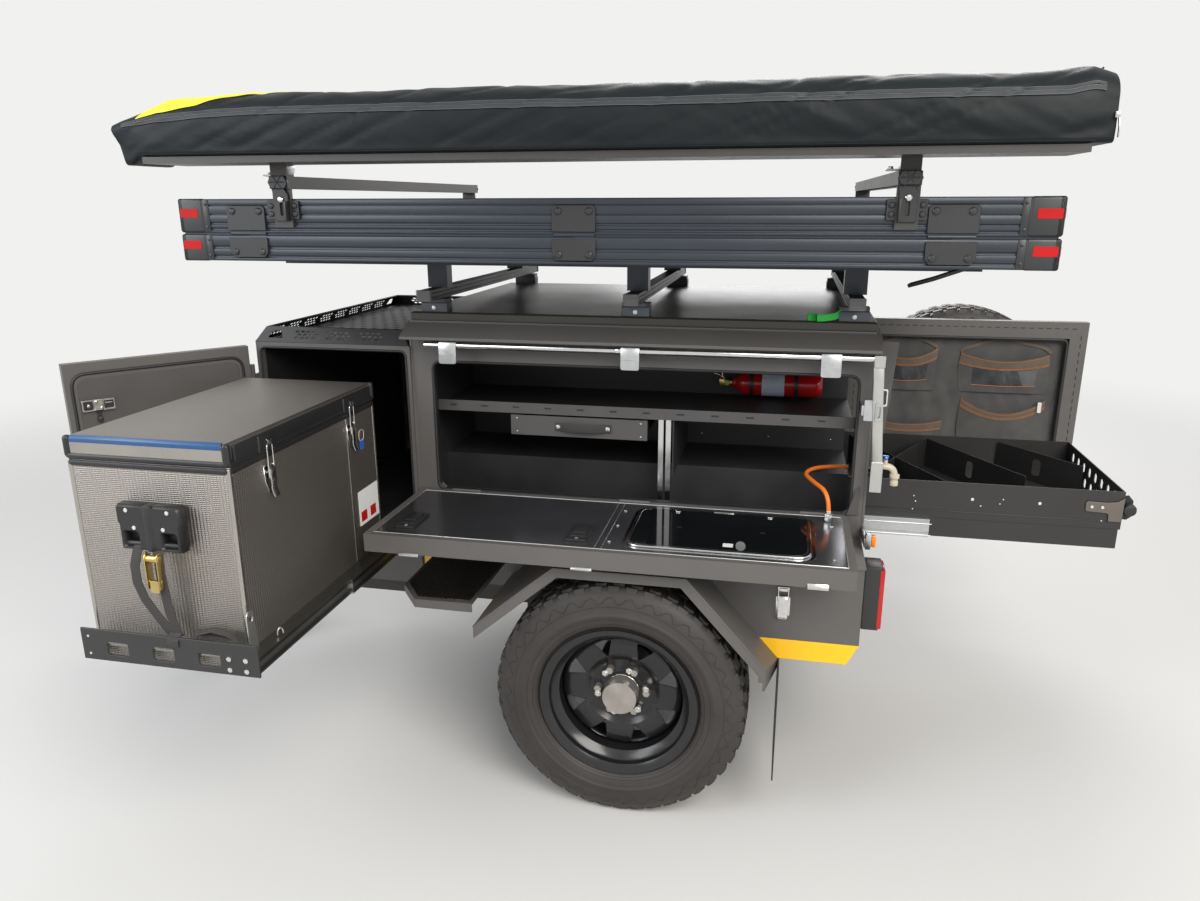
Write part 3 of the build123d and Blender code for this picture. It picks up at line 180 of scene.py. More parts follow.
def as_mesh(piece):
    """Turn a curve into a mesh and return it."""
    pick(piece)
    bpy.ops.object.convert(target="MESH")
    return bpy.context.object


def thickened(line, radius, roundness, closed=False, capped=False):
    """Give a curve a round section and turn it into a mesh."""
    line.data.splines[0].use_cyclic_u = closed
    line.data.bevel_depth = radius
    line.data.bevel_resolution = roundness
    line.data.use_fill_caps = capped
    return as_mesh(line)


HOSE_THICK = 0.012
hose_route = [
    at(0.599, -0.33, 0.925),
    at(0.525, -0.345, 0.928),
    at(0.47, -0.4, 0.922),
    at(0.495, -0.47, 0.918),
    at(0.54, -0.552, 0.91),
    at(0.54, -0.552, 0.852),
]
hose_line = run("hose_line", hose_route)
centre = bpy.data.meshes.new_from_object(hose_line.evaluated_get(bpy.context.evaluated_depsgraph_get()))
hose_path = [tuple(v.co) for v in centre.vertices]
hose_length = sum((Vector(a) - Vector(b)).length for a, b in zip(hose_path, hose_path[1:]))
hose = thickened(hose_line, HOSE_THICK / 2, 4, capped=True)
hose.name = "hose"
bpy.ops.object.shade_smooth()
orange_rubber = finish_of("orange_rubber", (0.72, 0.16, 0.012), 0.42, grain=260, vary=0.06)
hose.data.materials.clear()
hose.data.materials.append(orange_rubber)
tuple(hose_path[0])
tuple(hose_path[-1])
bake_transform(hose)
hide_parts("gas_hose")
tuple(hose_path[0])

# Floor and light.
# A plain pale floor that fades into the pale surround a few metres off, and large soft lamps.
bpy.ops.mesh.primitive_plane_add(size=60, location=(1.9, 0, -0.5302))
floor = bpy.context.object
floor.name = "floor"
pale = blank("pale_floor")
coat(pale, Base_Color=(0.62, 0.61, 0.59, 1), Roughness=0.85)
away = layer(pale, "VectorMath", "Value", layer(pale, "TexCoord", "Object"), operation="LENGTH")
fade = layer(
    pale, "MapRange", "Result", interpolation_type="SMOOTHSTEP", Value=away, From_Min=2.6, From_Max=7.5,
)
paint = pale.node_tree.nodes["Principled BSDF"].outputs["BSDF"]
faded = layer(pale, "MixShader", "Shader", fade, paint, layer(pale, "BsdfTransparent", "BSDF"))
feed(pale.node_tree, pale.node_tree.nodes["Material Output"], Surface=faded)
floor.data.materials.append(pale)
floor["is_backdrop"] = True

sky = bpy.data.worlds.new("studio")
bpy.context.scene.world = sky
sky.use_nodes = True
daylight = sky.node_tree.nodes["Background"]
feed(sky.node_tree, daylight, Color=(0.93, 0.95, 1.0, 1), Strength=0.55)
behind = layer(sky, "Background", "Background", Color=(0.88, 0.88, 0.87, 1))
rays = sky.node_tree.nodes.new("ShaderNodeLightPath")
seen = rays.outputs["Is Camera Ray"]
for kind in ("Is Glossy Ray", "Is Transmission Ray"):
    seen = layer(sky, "Math", 0, seen, rays.outputs[kind], operation="MAXIMUM")
sky_light = layer(sky, "MixShader", "Shader", seen, daylight.outputs["Background"], behind)
feed(sky.node_tree, sky.node_tree.nodes["World Output"], Surface=sky_light)

lamps = (
    (at(2.6, -4.2, 4.2), 3.4, 330, (1.0, 0.97, 0.92)),
    (at(-3.6, -3.4, 3.2), 3.0, 150, (0.92, 0.96, 1.0)),
    (at(0.5, 4.5, 4.0), 3.6, 200, (1.0, 1.0, 1.0)),
)
for place, size, power, tint in lamps:
    bpy.ops.object.light_add(type="AREA", location=place)
    lamp = bpy.context.object
    lamp.data.size = size
    lamp.data.energy = power
    lamp.data.color = tint
    lamp.rotation_euler = (at(0, 0, 0.8) - place).to_track_quat("-Z", "Y").to_euler()
bpy.context.scene.view_settings.view_transform = "Standard"

# Chassis frame, axle and springs.
# Welded steel box sections, sprayed black after welding, with some road dust on them;
# they are the modelled solids, with their own finish.


def cover(finish, *nodes):
    """Give CAD nodes a finish in place of the plain one they come with."""
    for node in nodes:
        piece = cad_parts[node]
        for place in piece.material_slots:
            place.material = finish


black_coat = finish_of("black_coat", (0.022, 0.021, 0.021), 0.42, grain=620, bump=0.25, vary=0.2)
dusty_black = finish_of("dusty_black", (0.035, 0.032, 0.029), 0.62, grain=420, bump=0.35, vary=0.35, patch=5)
cover(dusty_black, "chassis_frame", "axle", "leaf_springs")
zinc = finish_of("zinc", (0.52, 0.53, 0.54), 0.34, metal=1.0, grain=180, bump=0.12, vary=0.14, patch=60)
cover(zinc, "coupler", "jockey_sleeve", "jockey_leg", "jockey_fork")

# Road wheels.
# Black steel wheels with a deep turned barrel, eight pressed windows and a bright free-wheeling hub,
# with all-terrain tyres: blocks round the crown, lugs on the shoulder and ribs down the wall.


def faces_out(merge=None):
    """Turn the active piece's faces outwards, once its doubles are merged."""
    bpy.ops.object.mode_set(mode="EDIT")
    bpy.ops.mesh.select_all(action="SELECT")
    if merge:
        bpy.ops.mesh.remove_doubles(threshold=merge)
    bpy.ops.mesh.normals_make_consistent(inside=False)
    bpy.ops.object.mode_set(mode="OBJECT")


def smoothed(degrees):
    """Shade the active piece smooth, except at edges that turn by more."""
    bpy.ops.object.shade_smooth_by_angle(angle=math.radians(degrees))


def stand(piece, middle, out):
    """Set a piece made round local Z on a wheel's middle, its top to the outer side."""
    piece.rotation_euler = (math.radians(90 if out < 0 else -90), 0, 0)
    piece.location = middle


def turned(name, profile, middle=None, out=-1, steps=96):
    """Turn a closed profile of (radius, height) round an upright axis, or round a wheel's axle."""
    line = bpy.data.meshes.new(name)
    count = len(profile)
    edges = [(i, (i + 1) % count) for i in range(count)]
    line.from_pydata([(r, 0, h) for r, h in profile], edges, [])
    piece = placed(name, line)
    pick(piece)
    screw = piece.modifiers.new("turn", "SCREW")
    screw.axis = "Z"
    screw.steps = screw.render_steps = steps
    screw.use_merge_vertices = True
    screw.merge_threshold = 0.00002
    bpy.ops.object.modifier_apply(modifier="turn")
    faces_out(merge=0.00002)
    smoothed(32)
    if middle is not None:
        stand(piece, middle, out)
    return piece


def rounded(points, radius, steps=4):
    """The corners of an outline, each rounded to a short arc."""
    outline = []
    count = len(points)
    for i in range(count):
        here = Vector(points[i])
        back = Vector(points[i - 1]) - here
        ahead = Vector(points[(i + 1) % count]) - here
        reach = min(radius, back.length * 0.45, ahead.length * 0.45)
        start = here + back.normalized() * reach
        stop = here + ahead.normalized() * reach
        for step in range(steps + 1):
            t = step / steps
            outline.append(start * (1 - t) ** 2 + here * 2 * t * (1 - t) + stop * t**2)
    return [(p.x, p.y) for p in outline]


LENGTHWISE, CROSSWISE, UPRIGHT = (1, 0, 0), (0, 1, 0), (0, 0, 1)


def pressed(name, outline, holes=(), thick=0.003, edge=0.0008, x=None, y=None, z=None,
            origin=(0, 0, 0), right=LENGTHWISE, up=UPRIGHT):
    """A plate with holes: across at x, along at y, level at z, or with its own origin, right and up."""
    if x is not None:
        origin, right = at(x, 0, 0), CROSSWISE
    elif y is not None:
        origin = at(0, y, 0)
    elif z is not None:
        origin, up = at(0, 0, z), CROSSWISE
    flat = bpy.data.curves.new(name, "CURVE")
    flat.dimensions = "2D"
    flat.fill_mode = "BOTH"
    flat.extrude = max(0.00001, thick / 2 - edge)
    flat.bevel_depth = edge
    flat.bevel_resolution = 0
    flat.offset = -edge
    for loop in (outline, *holes):
        spline = flat.splines.new("POLY")
        spline.points.add(len(loop) - 1)
        for knot, (across, tall) in zip(spline.points, loop):
            knot.co = (across, tall, 0, 1)
        spline.use_cyclic_u = True
    piece = as_mesh(placed(name, flat))
    faces_out(merge=0.000005)
    across, tall = Vector(right).normalized(), Vector(up).normalized()
    turn = Matrix((across, tall, across.cross(tall))).transposed().to_4x4()
    piece.matrix_world = Matrix.Translation(origin) @ turn
    return piece


def joined(name, pieces):
    """Join pieces into the first one."""
    pick(*pieces)
    bpy.ops.object.join()
    pieces[0].name = name
    return pieces[0]


def eased(piece, width, rounds, angle=30):
    """Round the active piece's edges, where they turn by more than the angle."""
    bevel = piece.modifiers.new("edge", "BEVEL")
    bevel.width = width
    bevel.segments = rounds
    bevel.limit_method = "ANGLE"
    bevel.angle_limit = math.radians(angle)
    bpy.ops.object.modifier_apply(modifier="edge")


def block(name, low, high, edge=0.002, rounds=2):
    """A bar or block between two corners, its edges rounded."""
    low, high = Vector(low), Vector(high)
    bpy.ops.mesh.primitive_cube_add(size=1, location=(low + high) / 2)
    piece = bpy.context.object
    piece.name = name
    piece.scale = [abs(s) for s in (high - low)]
    bpy.ops.object.transform_apply(location=False, rotation=False, scale=True)
    eased(piece, min(edge, min(piece.dimensions) * 0.45), rounds)
    smoothed(40)
    return piece


def round_bar(name, middle, radius, length, direction, edge=0.0015, sides=24):
    """A round bar or disc centred on a point, its end edges bevelled."""
    bpy.ops.mesh.primitive_cylinder_add(vertices=sides, radius=radius, depth=length, location=middle)
    piece = bpy.context.object
    piece.name = name
    piece.rotation_euler = Vector(direction).to_track_quat("Z", "Y").to_euler()
    eased(piece, min(edge, length * 0.3, radius * 0.4), 2, angle=60)
    smoothed(40)
    return piece


rubber = finish_of(
    "tyre_rubber", (0.03, 0.026, 0.024), 0.56, grain=320, bump=0.35, depth=0.0004, vary=0.35, patch=14,
)
gloss_black = finish_of("gloss_black", (0.012, 0.012, 0.013), 0.22, grain=90, bump=0.05, vary=0.3, patch=25)
bright_metal = finish_of("bright_metal", (0.66, 0.65, 0.63), 0.2, metal=1.0, grain=240, bump=0.1, patch=70)
PITCHES, TEETH, WINDOWS, NUTS = 44, 36, 8, 6
tyre_profile = [
    (0.2035, -0.081), (0.2225, -0.083), (0.234, -0.096), (0.248, -0.1035), (0.263, -0.106), (0.265, -0.1075),
    (0.27, -0.1075), (0.272, -0.1062), (0.29, -0.105), (0.308, -0.101), (0.32, -0.097), (0.333, -0.09),
    (0.342, -0.08), (0.3455, -0.06), (0.3462, 0.0),
]
tyre_profile += [(r, -h) for r, h in reversed(tyre_profile[:-1])]
tyre_profile += [
    (0.2035, 0.068), (0.262, 0.088), (0.318, 0.072), (0.326, 0.0), (0.318, -0.072), (0.262, -0.088),
    (0.2035, -0.068),
]
rim_profile = [
    (0.2205, 0.096), (0.2205, 0.091), (0.212, 0.0865), (0.203, 0.0825), (0.203, 0.062), (0.196, 0.056),
    (0.183, 0.047), (0.182, -0.046), (0.203, -0.062), (0.203, -0.0825), (0.2205, -0.091), (0.2205, -0.096),
    (0.199, -0.09), (0.197, -0.066), (0.176, -0.05), (0.176, 0.05), (0.193, 0.063), (0.1965, 0.068),
    (0.197, 0.085), (0.206, 0.0915), (0.214, 0.0945),
]
disc_profile = [
    (0.05, 0.01), (0.086, 0.011), (0.096, 0.015), (0.106, 0.025), (0.116, 0.03), (0.135, 0.032),
    (0.154, 0.03), (0.168, 0.022), (0.175, 0.012), (0.1765, 0.0), (0.1725, 0.0), (0.17, 0.01),
    (0.165, 0.018), (0.153, 0.026), (0.135, 0.028), (0.117, 0.026), (0.108, 0.021), (0.098, 0.011),
    (0.087, 0.006), (0.05, 0.005),
]
window = rounded([(0.106, 0.0), (0.158, -0.029), (0.163, 0.0), (0.158, 0.029)], 0.008, 3)


def closed_line(name, points, radius, roundness=2):
    """A round strip that follows a closed line of points."""
    piece = thickened(run(name, points, smooth=False), radius, roundness, closed=True)
    bpy.ops.object.shade_smooth()
    return piece


def repeated(pattern, places):
    """Copies of a pattern, each with its own mesh at its place; the pattern goes."""
    copies = []
    for place in places:
        copy = placed(pattern.name, pattern.data.copy())
        copy.matrix_world = place
        copies.append(copy)
    bpy.data.objects.remove(pattern)
    return copies


def on_circle(radius, turn, height):
    """A point on a circle round the wheel's axis."""
    return (radius * math.cos(turn), radius * math.sin(turn), height)


# The blocks of the tread, row by row: lower and upper edge, shift in pitches, lean of the middle.
tread_rows = (
    (-0.074, -0.04, 0.0, 0.004), (-0.035, -0.013, 0.5, -0.005), (-0.009, 0.009, 0.2, 0.004),
    (0.013, 0.035, 0.5, -0.005), (0.04, 0.074, 0.0, 0.004),
)
LUG_LONG, LUG_TAPER = 2 * math.pi * 0.347 / PITCHES * 0.78, 0.004
shoulder_lug = [(-0.016, 0.0), (0.016, 0.0), (0.013, 0.026), (0.004, 0.03), (0.002, 0.038), (-0.006, 0.038),
                (-0.006, 0.026), (-0.013, 0.024)]
SHOULDER_R, SHOULDER_HALF, SHOULDER_LEAN = 0.344, 0.08, math.radians(62)
# The wall's rings: radius, how far out, thickness. A tooth: share of a pitch, radius, how far out.
wall_rings = ((0.233, 0.0952, 0.0009), (0.24, 0.1, 0.0008), (0.2555, 0.105, 0.0008), (0.293, 0.1046, 0.0011))
wall_tooth = ((0.0, 0.3, 0.1032), (0.3, 0.319, 0.0977), (0.55, 0.315, 0.099), (0.8, 0.303, 0.1028))


def tyre_of(name, middle, out):
    """One tyre: the turned case with its blocks, shoulder lugs and wall relief fused on."""
    pieces = [turned(name, tyre_profile, steps=88)]
    upright_face = Matrix(((0, 0, 1, 0), (1, 0, 0, 0), (0, 1, 0, 0), (0, 0, 0, 1)))
    for row, (low, high, shift, lean) in enumerate(tread_rows):
        half = LUG_LONG / 2
        outline = [(-half, low), (0, low + lean), (half, low), (half - LUG_TAPER, high), (0, high + lean),
                   (-half + LUG_TAPER, high)]
        crown = Matrix.Translation((0.3478 if abs(low + high) < 0.1 else 0.3458, 0, 0)) @ upright_face
        pattern = pressed(f"{name}_row_{row}", outline, thick=0.01, edge=0.0012)
        pieces += repeated(pattern, [Matrix.Rotation(2 * math.pi * (pitch + shift) / PITCHES, 4, "Z") @ crown
                                     for pitch in range(PITCHES)])
    sine, cosine = math.sin(SHOULDER_LEAN), math.cos(SHOULDER_LEAN)
    for side in (-1, 1):
        slope = Matrix(
            ((0, -sine, cosine, 0), (1, 0, 0, 0), (0, side * cosine, side * sine, 0), (0, 0, 0, 1)),
        )
        shoulder = Matrix.Translation((SHOULDER_R, 0, side * SHOULDER_HALF)) @ slope
        pattern = pressed(f"{name}_shoulder", shoulder_lug, thick=0.007, edge=0.001)
        pieces += repeated(
            pattern,
            [
                Matrix.Rotation(2 * math.pi * (pitch + 0.25 * side) / PITCHES, 4, "Z") @ shoulder
                for pitch in range(PITCHES)
            ],
        )
    for side in (-1, 1):
        for radius, height, thick in wall_rings:
            ring = [on_circle(radius, k * math.pi / TEETH, side * height) for k in range(2 * TEETH)]
            pieces.append(closed_line("wall_ring", ring, thick, 1))
        teeth = [on_circle(radius, 2 * math.pi * (pitch + share) / TEETH, side * height)
                 for pitch in range(TEETH) for share, radius, height in wall_tooth]
        pieces.append(closed_line("wall_teeth", teeth, 0.0013, 1))
    piece = joined(name, pieces)
    faces_out()
    smoothed(30)
    stand(piece, middle, out)
    return piece


def rim_of(name, middle, out):
    """One steel wheel: barrel, then the disc with its windows cut and their lips rolled."""
    barrel = turned(name, rim_profile)
    disc = turned(name + "_disc", disc_profile)
    cutters, lips = [], []
    for number in range(WINDOWS):
        turn = Matrix.Rotation(math.radians(360 / WINDOWS * number + 20), 4, "Z")
        cutters.append(pressed("cutter", window, thick=0.12, edge=0.0001))
        lip_line = [(x, y, 0.0318 - 8 * (math.hypot(x, y) - 0.135) ** 2) for x, y in window]
        lips.append(thickened(run("lip", lip_line, smooth=False), 0.0022, 2, closed=True))
        cutters[-1].matrix_world = lips[-1].matrix_world = turn
    cutter = joined("cutters", cutters)
    cut = disc.modifiers.new("windows", "BOOLEAN")
    cut.operation = "DIFFERENCE"
    cut.object = cutter
    pick(disc)
    bpy.ops.object.modifier_apply(modifier="windows")
    bpy.data.objects.remove(cutter)
    piece = joined(name, [barrel, disc, *lips])
    smoothed(35)
    stand(piece, middle, out)
    return piece


def nuts_of(name, middle, out):
    """The domed wheel nuts on their bolt circle."""
    made = []
    for number in range(NUTS):
        turn = math.radians(360 / NUTS * number + 12)
        made.append(round_bar("nut", on_circle(0.06985, turn, 0.0215), 0.0105, 0.021, UPRIGHT, 0.002, 6))
        made.append(round_bar("stud", on_circle(0.06985, turn, 0.034), 0.0055, 0.008, UPRIGHT, 0.0015, 12))
    piece = joined(name, made)
    bpy.ops.object.transform_apply(location=True, rotation=True, scale=True)
    stand(piece, middle, out)
    return piece


hub_profile = [
    (0.0, 0.067), (0.02, 0.067), (0.021, 0.0655), (0.033, 0.0655), (0.034, 0.067), (0.0435, 0.067),
    (0.0465, 0.065), (0.0475, 0.061), (0.0475, 0.04), (0.044, 0.036), (0.044, 0.028), (0.0495, 0.022),
    (0.0495, 0.0105), (0.0, 0.0105),
]
WHEEL_Y, WHEEL_Z = 0.722, 0.353
for side, out, body, middle, tyre_node, rim_node in (
    ("left", -1, "wheel_left", at(0, -WHEEL_Y, WHEEL_Z), "tyre_left", "rim_left"),
    ("right", 1, "wheel_right", at(0, WHEEL_Y, WHEEL_Z), "tyre_right", "rim_right"),
    ("spare", 1, "rear_door", at(1.06, 0.718, 0.94), "spare_tyre", "spare_rim"),
):
    dress(tyre_of("tread_tyre_" + side, middle, out), body, rubber, "tyre_rubber", tyre_node)
    dress(rim_of("steel_rim_" + side, middle, out), body, gloss_black, "rim_black", rim_node)
    if side != "spare":
        dress(nuts_of("wheel_nuts_" + side, middle, out), body, bright_metal, "galvanised")
        dress(turned("hub_cap_" + side, hub_profile, middle, out, 64), body, bright_metal, "galvanised")
hub_silver = finish_of(
    "hub_silver", (0.4, 0.37, 0.34), 0.34, metal=0.75, grain=260, bump=0.12, vary=0.3, patch=22,
)
cover(hub_silver, "hub_left", "hub_right")

# Main box.
# Folded steel sheet, powder coated in fine-textured charcoal; the openings are edged with
# a black rubber seal and everything inside is coated black.
charcoal = finish_of(
    "charcoal", (0.096, 0.09, 0.085), 0.47, grain=850, bump=0.32, depth=0.00025, vary=0.1, patch=6,
)
charcoal_dark = finish_of(
    "charcoal_dark", (0.068, 0.064, 0.062), 0.5, grain=850, bump=0.32, depth=0.00025, vary=0.16,
)
inner_black = finish_of("inner_black", (0.016, 0.016, 0.017), 0.5, grain=700, bump=0.3, vary=0.45, patch=11)
seal_rubber = finish_of("seal_rubber", (0.014, 0.014, 0.015), 0.55, grain=300, bump=0.1, vary=0.2)
cover(
    charcoal, "side_wall_left", "side_wall_right", "end_walls", "roof_hood", "side_pods", "mudguards",
    "nose_box",
)
cover(inner_black, "floor_pan", "kitchen_walls", "kitchen_shelf")


def rectangle(x0, x1, y0, y1, radius=0.02, steps=5):
    """The outline of a rectangle with rounded corners."""
    return rounded([(x0, y0), (x1, y0), (x1, y1), (x0, y1)], radius, steps)


def end_line(x, points):
    """Points of (y, z) on the upright plane across the trailer at x."""
    return [at(x, *point) for point in points]


def side_line(y, points):
    """Points of (x, z) on the upright plane along the trailer at y."""
    return [at(along, y, up) for along, up in points]


def top_line(z, points):
    """Points of (x, y) on the level plane at z."""
    return [at(*point, z) for point in points]


OPEN_X0, OPEN_X1, SILL, HEAD = -0.622, 0.6, 0.83, 1.225
opening = rectangle(OPEN_X0 - 0.002, OPEN_X1 + 0.002, SILL - 0.002, HEAD + 0.002, 0.027)
SIDES = (("left", -1), ("right", 1))
LINER = {"thick": 0.0016, "edge": 0.0003}
for side, out in SIDES:
    seal = closed_line("opening_seal_" + side, side_line(out * 0.4885, opening), 0.0045)
    dress(seal, "chassis", seal_rubber, "rubber")
    collar = pressed(
        "opening_collar_" + side,
        rectangle(OPEN_X0 - 0.001, OPEN_X1 + 0.001, SILL - 0.001, HEAD + 0.001, 0.026),
        [rectangle(OPEN_X0 + 0.001, OPEN_X1 - 0.001, SILL + 0.0005, HEAD - 0.001, 0.024)], thick=0.022,
        edge=0.0004, y=out * 0.4775,
    )
    dress(collar, "chassis", inner_black, "black_steel")
    lining = pressed(
        "wall_lining_" + side, rectangle(-0.664, 0.601, 0.54, 1.298, 0.004),
        [rectangle(OPEN_X0, OPEN_X1, SILL, HEAD, 0.025)],
        **LINER, y=out * 0.4638,
    )
    dress(lining, "chassis", inner_black, "black_steel")
rear_opening = rectangle(-0.326, 0.366, 0.669, 1.226, 0.025)
for name, x, holes in (("front_lining", -0.6636, []), ("rear_lining", 0.6136, [rear_opening])):
    lining = pressed(name, rectangle(-0.462, 0.462, 0.54, 1.298, 0.004), holes, x=x, **LINER)
    dress(lining, "chassis", inner_black, "black_steel")
ceiling = pressed("ceiling", rectangle(-0.688, 0.638, -0.474, 0.474, 0.004), **LINER,
                  z=1.3378)
dress(ceiling, "chassis", inner_black, "black_steel")

# Folded seams and screws of the box.
# A shallow joint shows where the front corner post and the eaves meet the side, and small domed screws
# hold the linings.
for side, out in SIDES:
    for name, x in (("front", -0.6885), ("rear", 0.6385)):
        post = block(
            f"corner_post_{name}_{side}", at(x - 0.0035, out * 0.487, 0.512),
            at(x + 0.0035, out * 0.492, 1.298), 0.0015,
        )
        dress(post, "chassis", charcoal, "charcoal")
screws = []
for x in (-0.52, -0.3, -0.08, 0.14, 0.36, 0.56):
    for z in (0.93, 1.24):
        bpy.ops.mesh.primitive_uv_sphere_add(
            segments=12, ring_count=6, radius=0.0032, location=at(x, -0.0415, z),
        )
        screws.append(bpy.context.object)
rivets = joined("wall_screws", screws)
bpy.ops.object.shade_smooth()
dress(rivets, "chassis", bright_metal, "galvanised")

# Roof.
# The eaves are bent in three flats over the side walls; a dark film-faced board lies on the roof
# and takes the boots of whoever loads the tent.
film_board = finish_of(
    "film_board", (0.034, 0.03, 0.024), 0.33, grain=520, bump=0.45, depth=0.0004, vary=0.3, patch=4,
)
cover(film_board, "roof_plate")
for side, out in SIDES:
    low, high = at(-0.69, out * 0.49 - 0.004, 1.3405), at(0.636, out * 0.49 + 0.004, 1.3475)
    dress(block("gutter_strip_" + side, low, high), "chassis", charcoal_dark, "charcoal")

# Side pods, mudguards, steps and flaps.
# Folded boxes behind the wheels with a lift-up lid each, a yellow reflective strip along the bottom edge,
# angular guards over the tyres, chequer-plate steps ahead of them and thin rubber flaps behind.
yellow_film = finish_of("yellow_film", (0.93, 0.5, 0.006), 0.35, grain=900, bump=0.25, vary=0.05)
cover(seal_rubber, "mud_flaps")
chequer = blank("chequer_plate")
slanted = layer(
    chequer, "Mapping", "Vector", layer(chequer, "TexCoord", "Object"), Rotation=(0, 0, math.radians(45)),
)
# The raised bars are painted a light tan over the dark plate: a painted reflection on them.
bars_with_painted_reflection = layer(chequer, "TexBrick", "Color", Vector=slanted, Scale=26, Mortar_Size=0.03, Mortar_Smooth=0.4,
             Color1=(0.035, 0.033, 0.03, 1), Color2=(0.06, 0.055, 0.048, 1), Mortar=(0.2, 0.18, 0.15, 1))
relief = layer(chequer, "Bump", "Normal", Height=bars_with_painted_reflection.node.outputs["Fac"], Strength=0.6, Distance=0.001)
coat(chequer, Base_Color=bars_with_painted_reflection, Metallic=0.9, Roughness=0.33, Normal=relief)
cover(charcoal, "side_steps")
red_lens = finish_of("red_lens", (0.42, 0.012, 0.012), 0.16, grain=60, bump=0.02, vary=0.1)
amber_lens = finish_of("amber_lens", (0.8, 0.22, 0.01), 0.2, grain=60, bump=0.02, vary=0.05)
satin_black = finish_of("satin_black", (0.02, 0.02, 0.021), 0.38, grain=500, bump=0.12, vary=0.15)
stripe_shape = [(0.3725, 0.5385), (0.6335, 0.5385), (0.6045, 0.4808), (0.4238, 0.4808)]
guard_line = [(-0.4, 0.56), (-0.17, 0.752), (0.183, 0.752), (0.394, 0.515)]


def bridged(made, rings):
    """Build the faces between each ring of points and the next."""
    for low, high in zip(rings, rings[1:]):
        for k in range(len(low)):
            after = (k + 1) % len(low)
            made.faces.new((low[k], low[after], high[after], high[k]))


def built(name, made, outwards=True):
    """Turn faces that were built point by point into a piece, picked for what follows."""
    if outwards:
        bmesh.ops.recalc_face_normals(made, faces=made.faces)
    sheet = bpy.data.meshes.new(name)
    made.to_mesh(sheet)
    made.free()
    piece = placed(name, sheet)
    pick(piece)
    return piece


def strap(name, points, width, thick, across):
    """A flat strap along a line of points; across is the direction of its width."""
    across = Vector(across).normalized()
    made = bmesh.new()
    rings = []
    for i, here in enumerate(points):
        before, after = Vector(points[max(0, i - 1)]), Vector(points[min(len(points) - 1, i + 1)])
        run_way = (after - before).normalized()
        side_way = (across - run_way * across.dot(run_way)).normalized()
        face_way = run_way.cross(side_way)
        rings.append([made.verts.new(Vector(here) + side_way * sx * width / 2 + face_way * sy * thick / 2)
                      for sx, sy in ((-1, -1), (1, -1), (1, 1), (-1, 1))])
    bridged(made, rings)
    made.faces.new(rings[0][::-1])
    made.faces.new(rings[-1])
    piece = built(name, made)
    eased(piece, thick * 0.3, 2)
    smoothed(50)
    return piece


for side, out in SIDES:
    stripe = pressed("yellow_strip_" + side, stripe_shape, thick=0.0012, edge=0.0003, y=out * 0.7058)
    dress(stripe, "chassis", yellow_film, "charcoal")
    front_stripe = pressed(
        "front_yellow_strip_" + side, rectangle(-0.685, -0.515, 0.555, 0.6, 0.003), thick=0.0012, edge=0.0003,
        y=out * 0.4912,
    )
    dress(front_stripe, "chassis", yellow_film, "charcoal")
    lid = block("pod_lid_" + side, at(0.188, out * 0.498, 0.755), at(0.637, out * 0.7085, 0.7665), 0.003)
    dress(lid, "chassis", charcoal, "charcoal")
    tread = pressed(
        "step_tread_" + side,
        [(-0.65, 0.505), (-0.65, 0.69), (-0.586, 0.775), (-0.43, 0.775), (-0.43, 0.505)], thick=0.002,
        edge=0.0005, origin=at(0, 0, 0.6015), up=(0, out, 0),
    )
    dress(tread, "chassis", chequer, "black_steel")
    front_edge = [(-0.66, 0.7), (-0.59, 0.79), (-0.42, 0.79)]
    for number, (a, b) in enumerate(zip(front_edge, front_edge[1:])):
        start, stop = at(a[0], out * a[1], 0.596), at(b[0], out * b[1], 0.596)
        along = (stop - start).normalized()
        long = (stop - start).length
        skirt = pressed(f"step_skirt_{number}_{side}",
                        [(0, -0.022), (long, -0.022), (long, 0.004), (0, 0.004)],
                        edge=0.0006, origin=start, right=along)
        dress(skirt, "chassis", charcoal, "charcoal")
    fold = run(
        "guard_fold_" + side, side_line(out * 0.8412, [(x, z - 0.0012) for x, z in guard_line]), smooth=False,
    )
    dress(thickened(fold, 0.0022, 2, capped=True), "chassis", charcoal, "charcoal")
    latch_back = block(
        "pod_latch_plate_" + side, at(0.411, out * 0.7045, 0.61), at(0.449, out * 0.7075, 0.664), 0.0012,
    )
    lever = strap(
        "lever",
        end_line(
            0.43, [(out * 0.7105, 0.668), (out * 0.7165, 0.652), (out * 0.7175, 0.628), (out * 0.7235, 0.61)],
        ),
        0.026, 0.003, LENGTHWISE,
    )
    claw = block("latch_claw", at(0.414, out * 0.7045, 0.68), at(0.446, out * 0.712, 0.694), 0.003)
    loop = closed_line(
        "latch_loop", side_line(out * 0.7135, rectangle(0.417, 0.443, 0.65, 0.69, 0.006)), 0.0018,
    )
    ear = closed_line(
        "latch_ear", side_line(out * 0.7115, rectangle(0.419, 0.441, 0.602, 0.622, 0.004)), 0.0018,
    )
    latch = joined("pod_latch_" + side, [latch_back, lever, claw, loop, ear])
    dress(latch, "chassis", bright_metal, "galvanised")
    lamp_box = block(
        "lamp_box_" + side, at(0.6345, out * 0.627, 0.585), at(0.68, out * 0.7005, 0.7645), 0.004,
    )
    dress(lamp_box, "chassis", satin_black, "black_plastic", *(["tail_lamps"] if side == "left" else []))
    for number, (low, high, lens_finish) in enumerate((
        (0.59, 0.644, red_lens), (0.648, 0.7, amber_lens), (0.704, 0.759, red_lens),
    )):
        lens = block(
            f"lamp_lens_{number}_{side}", at(0.6795, out * 0.63, low), at(0.6858, out * 0.6975, high),
        )
        dress(lens, "chassis", lens_finish, "lamp_red")
    edge_strip = block(
        "lamp_side_strip_" + side, at(0.674, out * 0.7003, 0.592), at(0.6855, out * 0.7013, 0.757), 0.0004,
    )
    dress(edge_strip, "chassis", red_lens, "lamp_red")

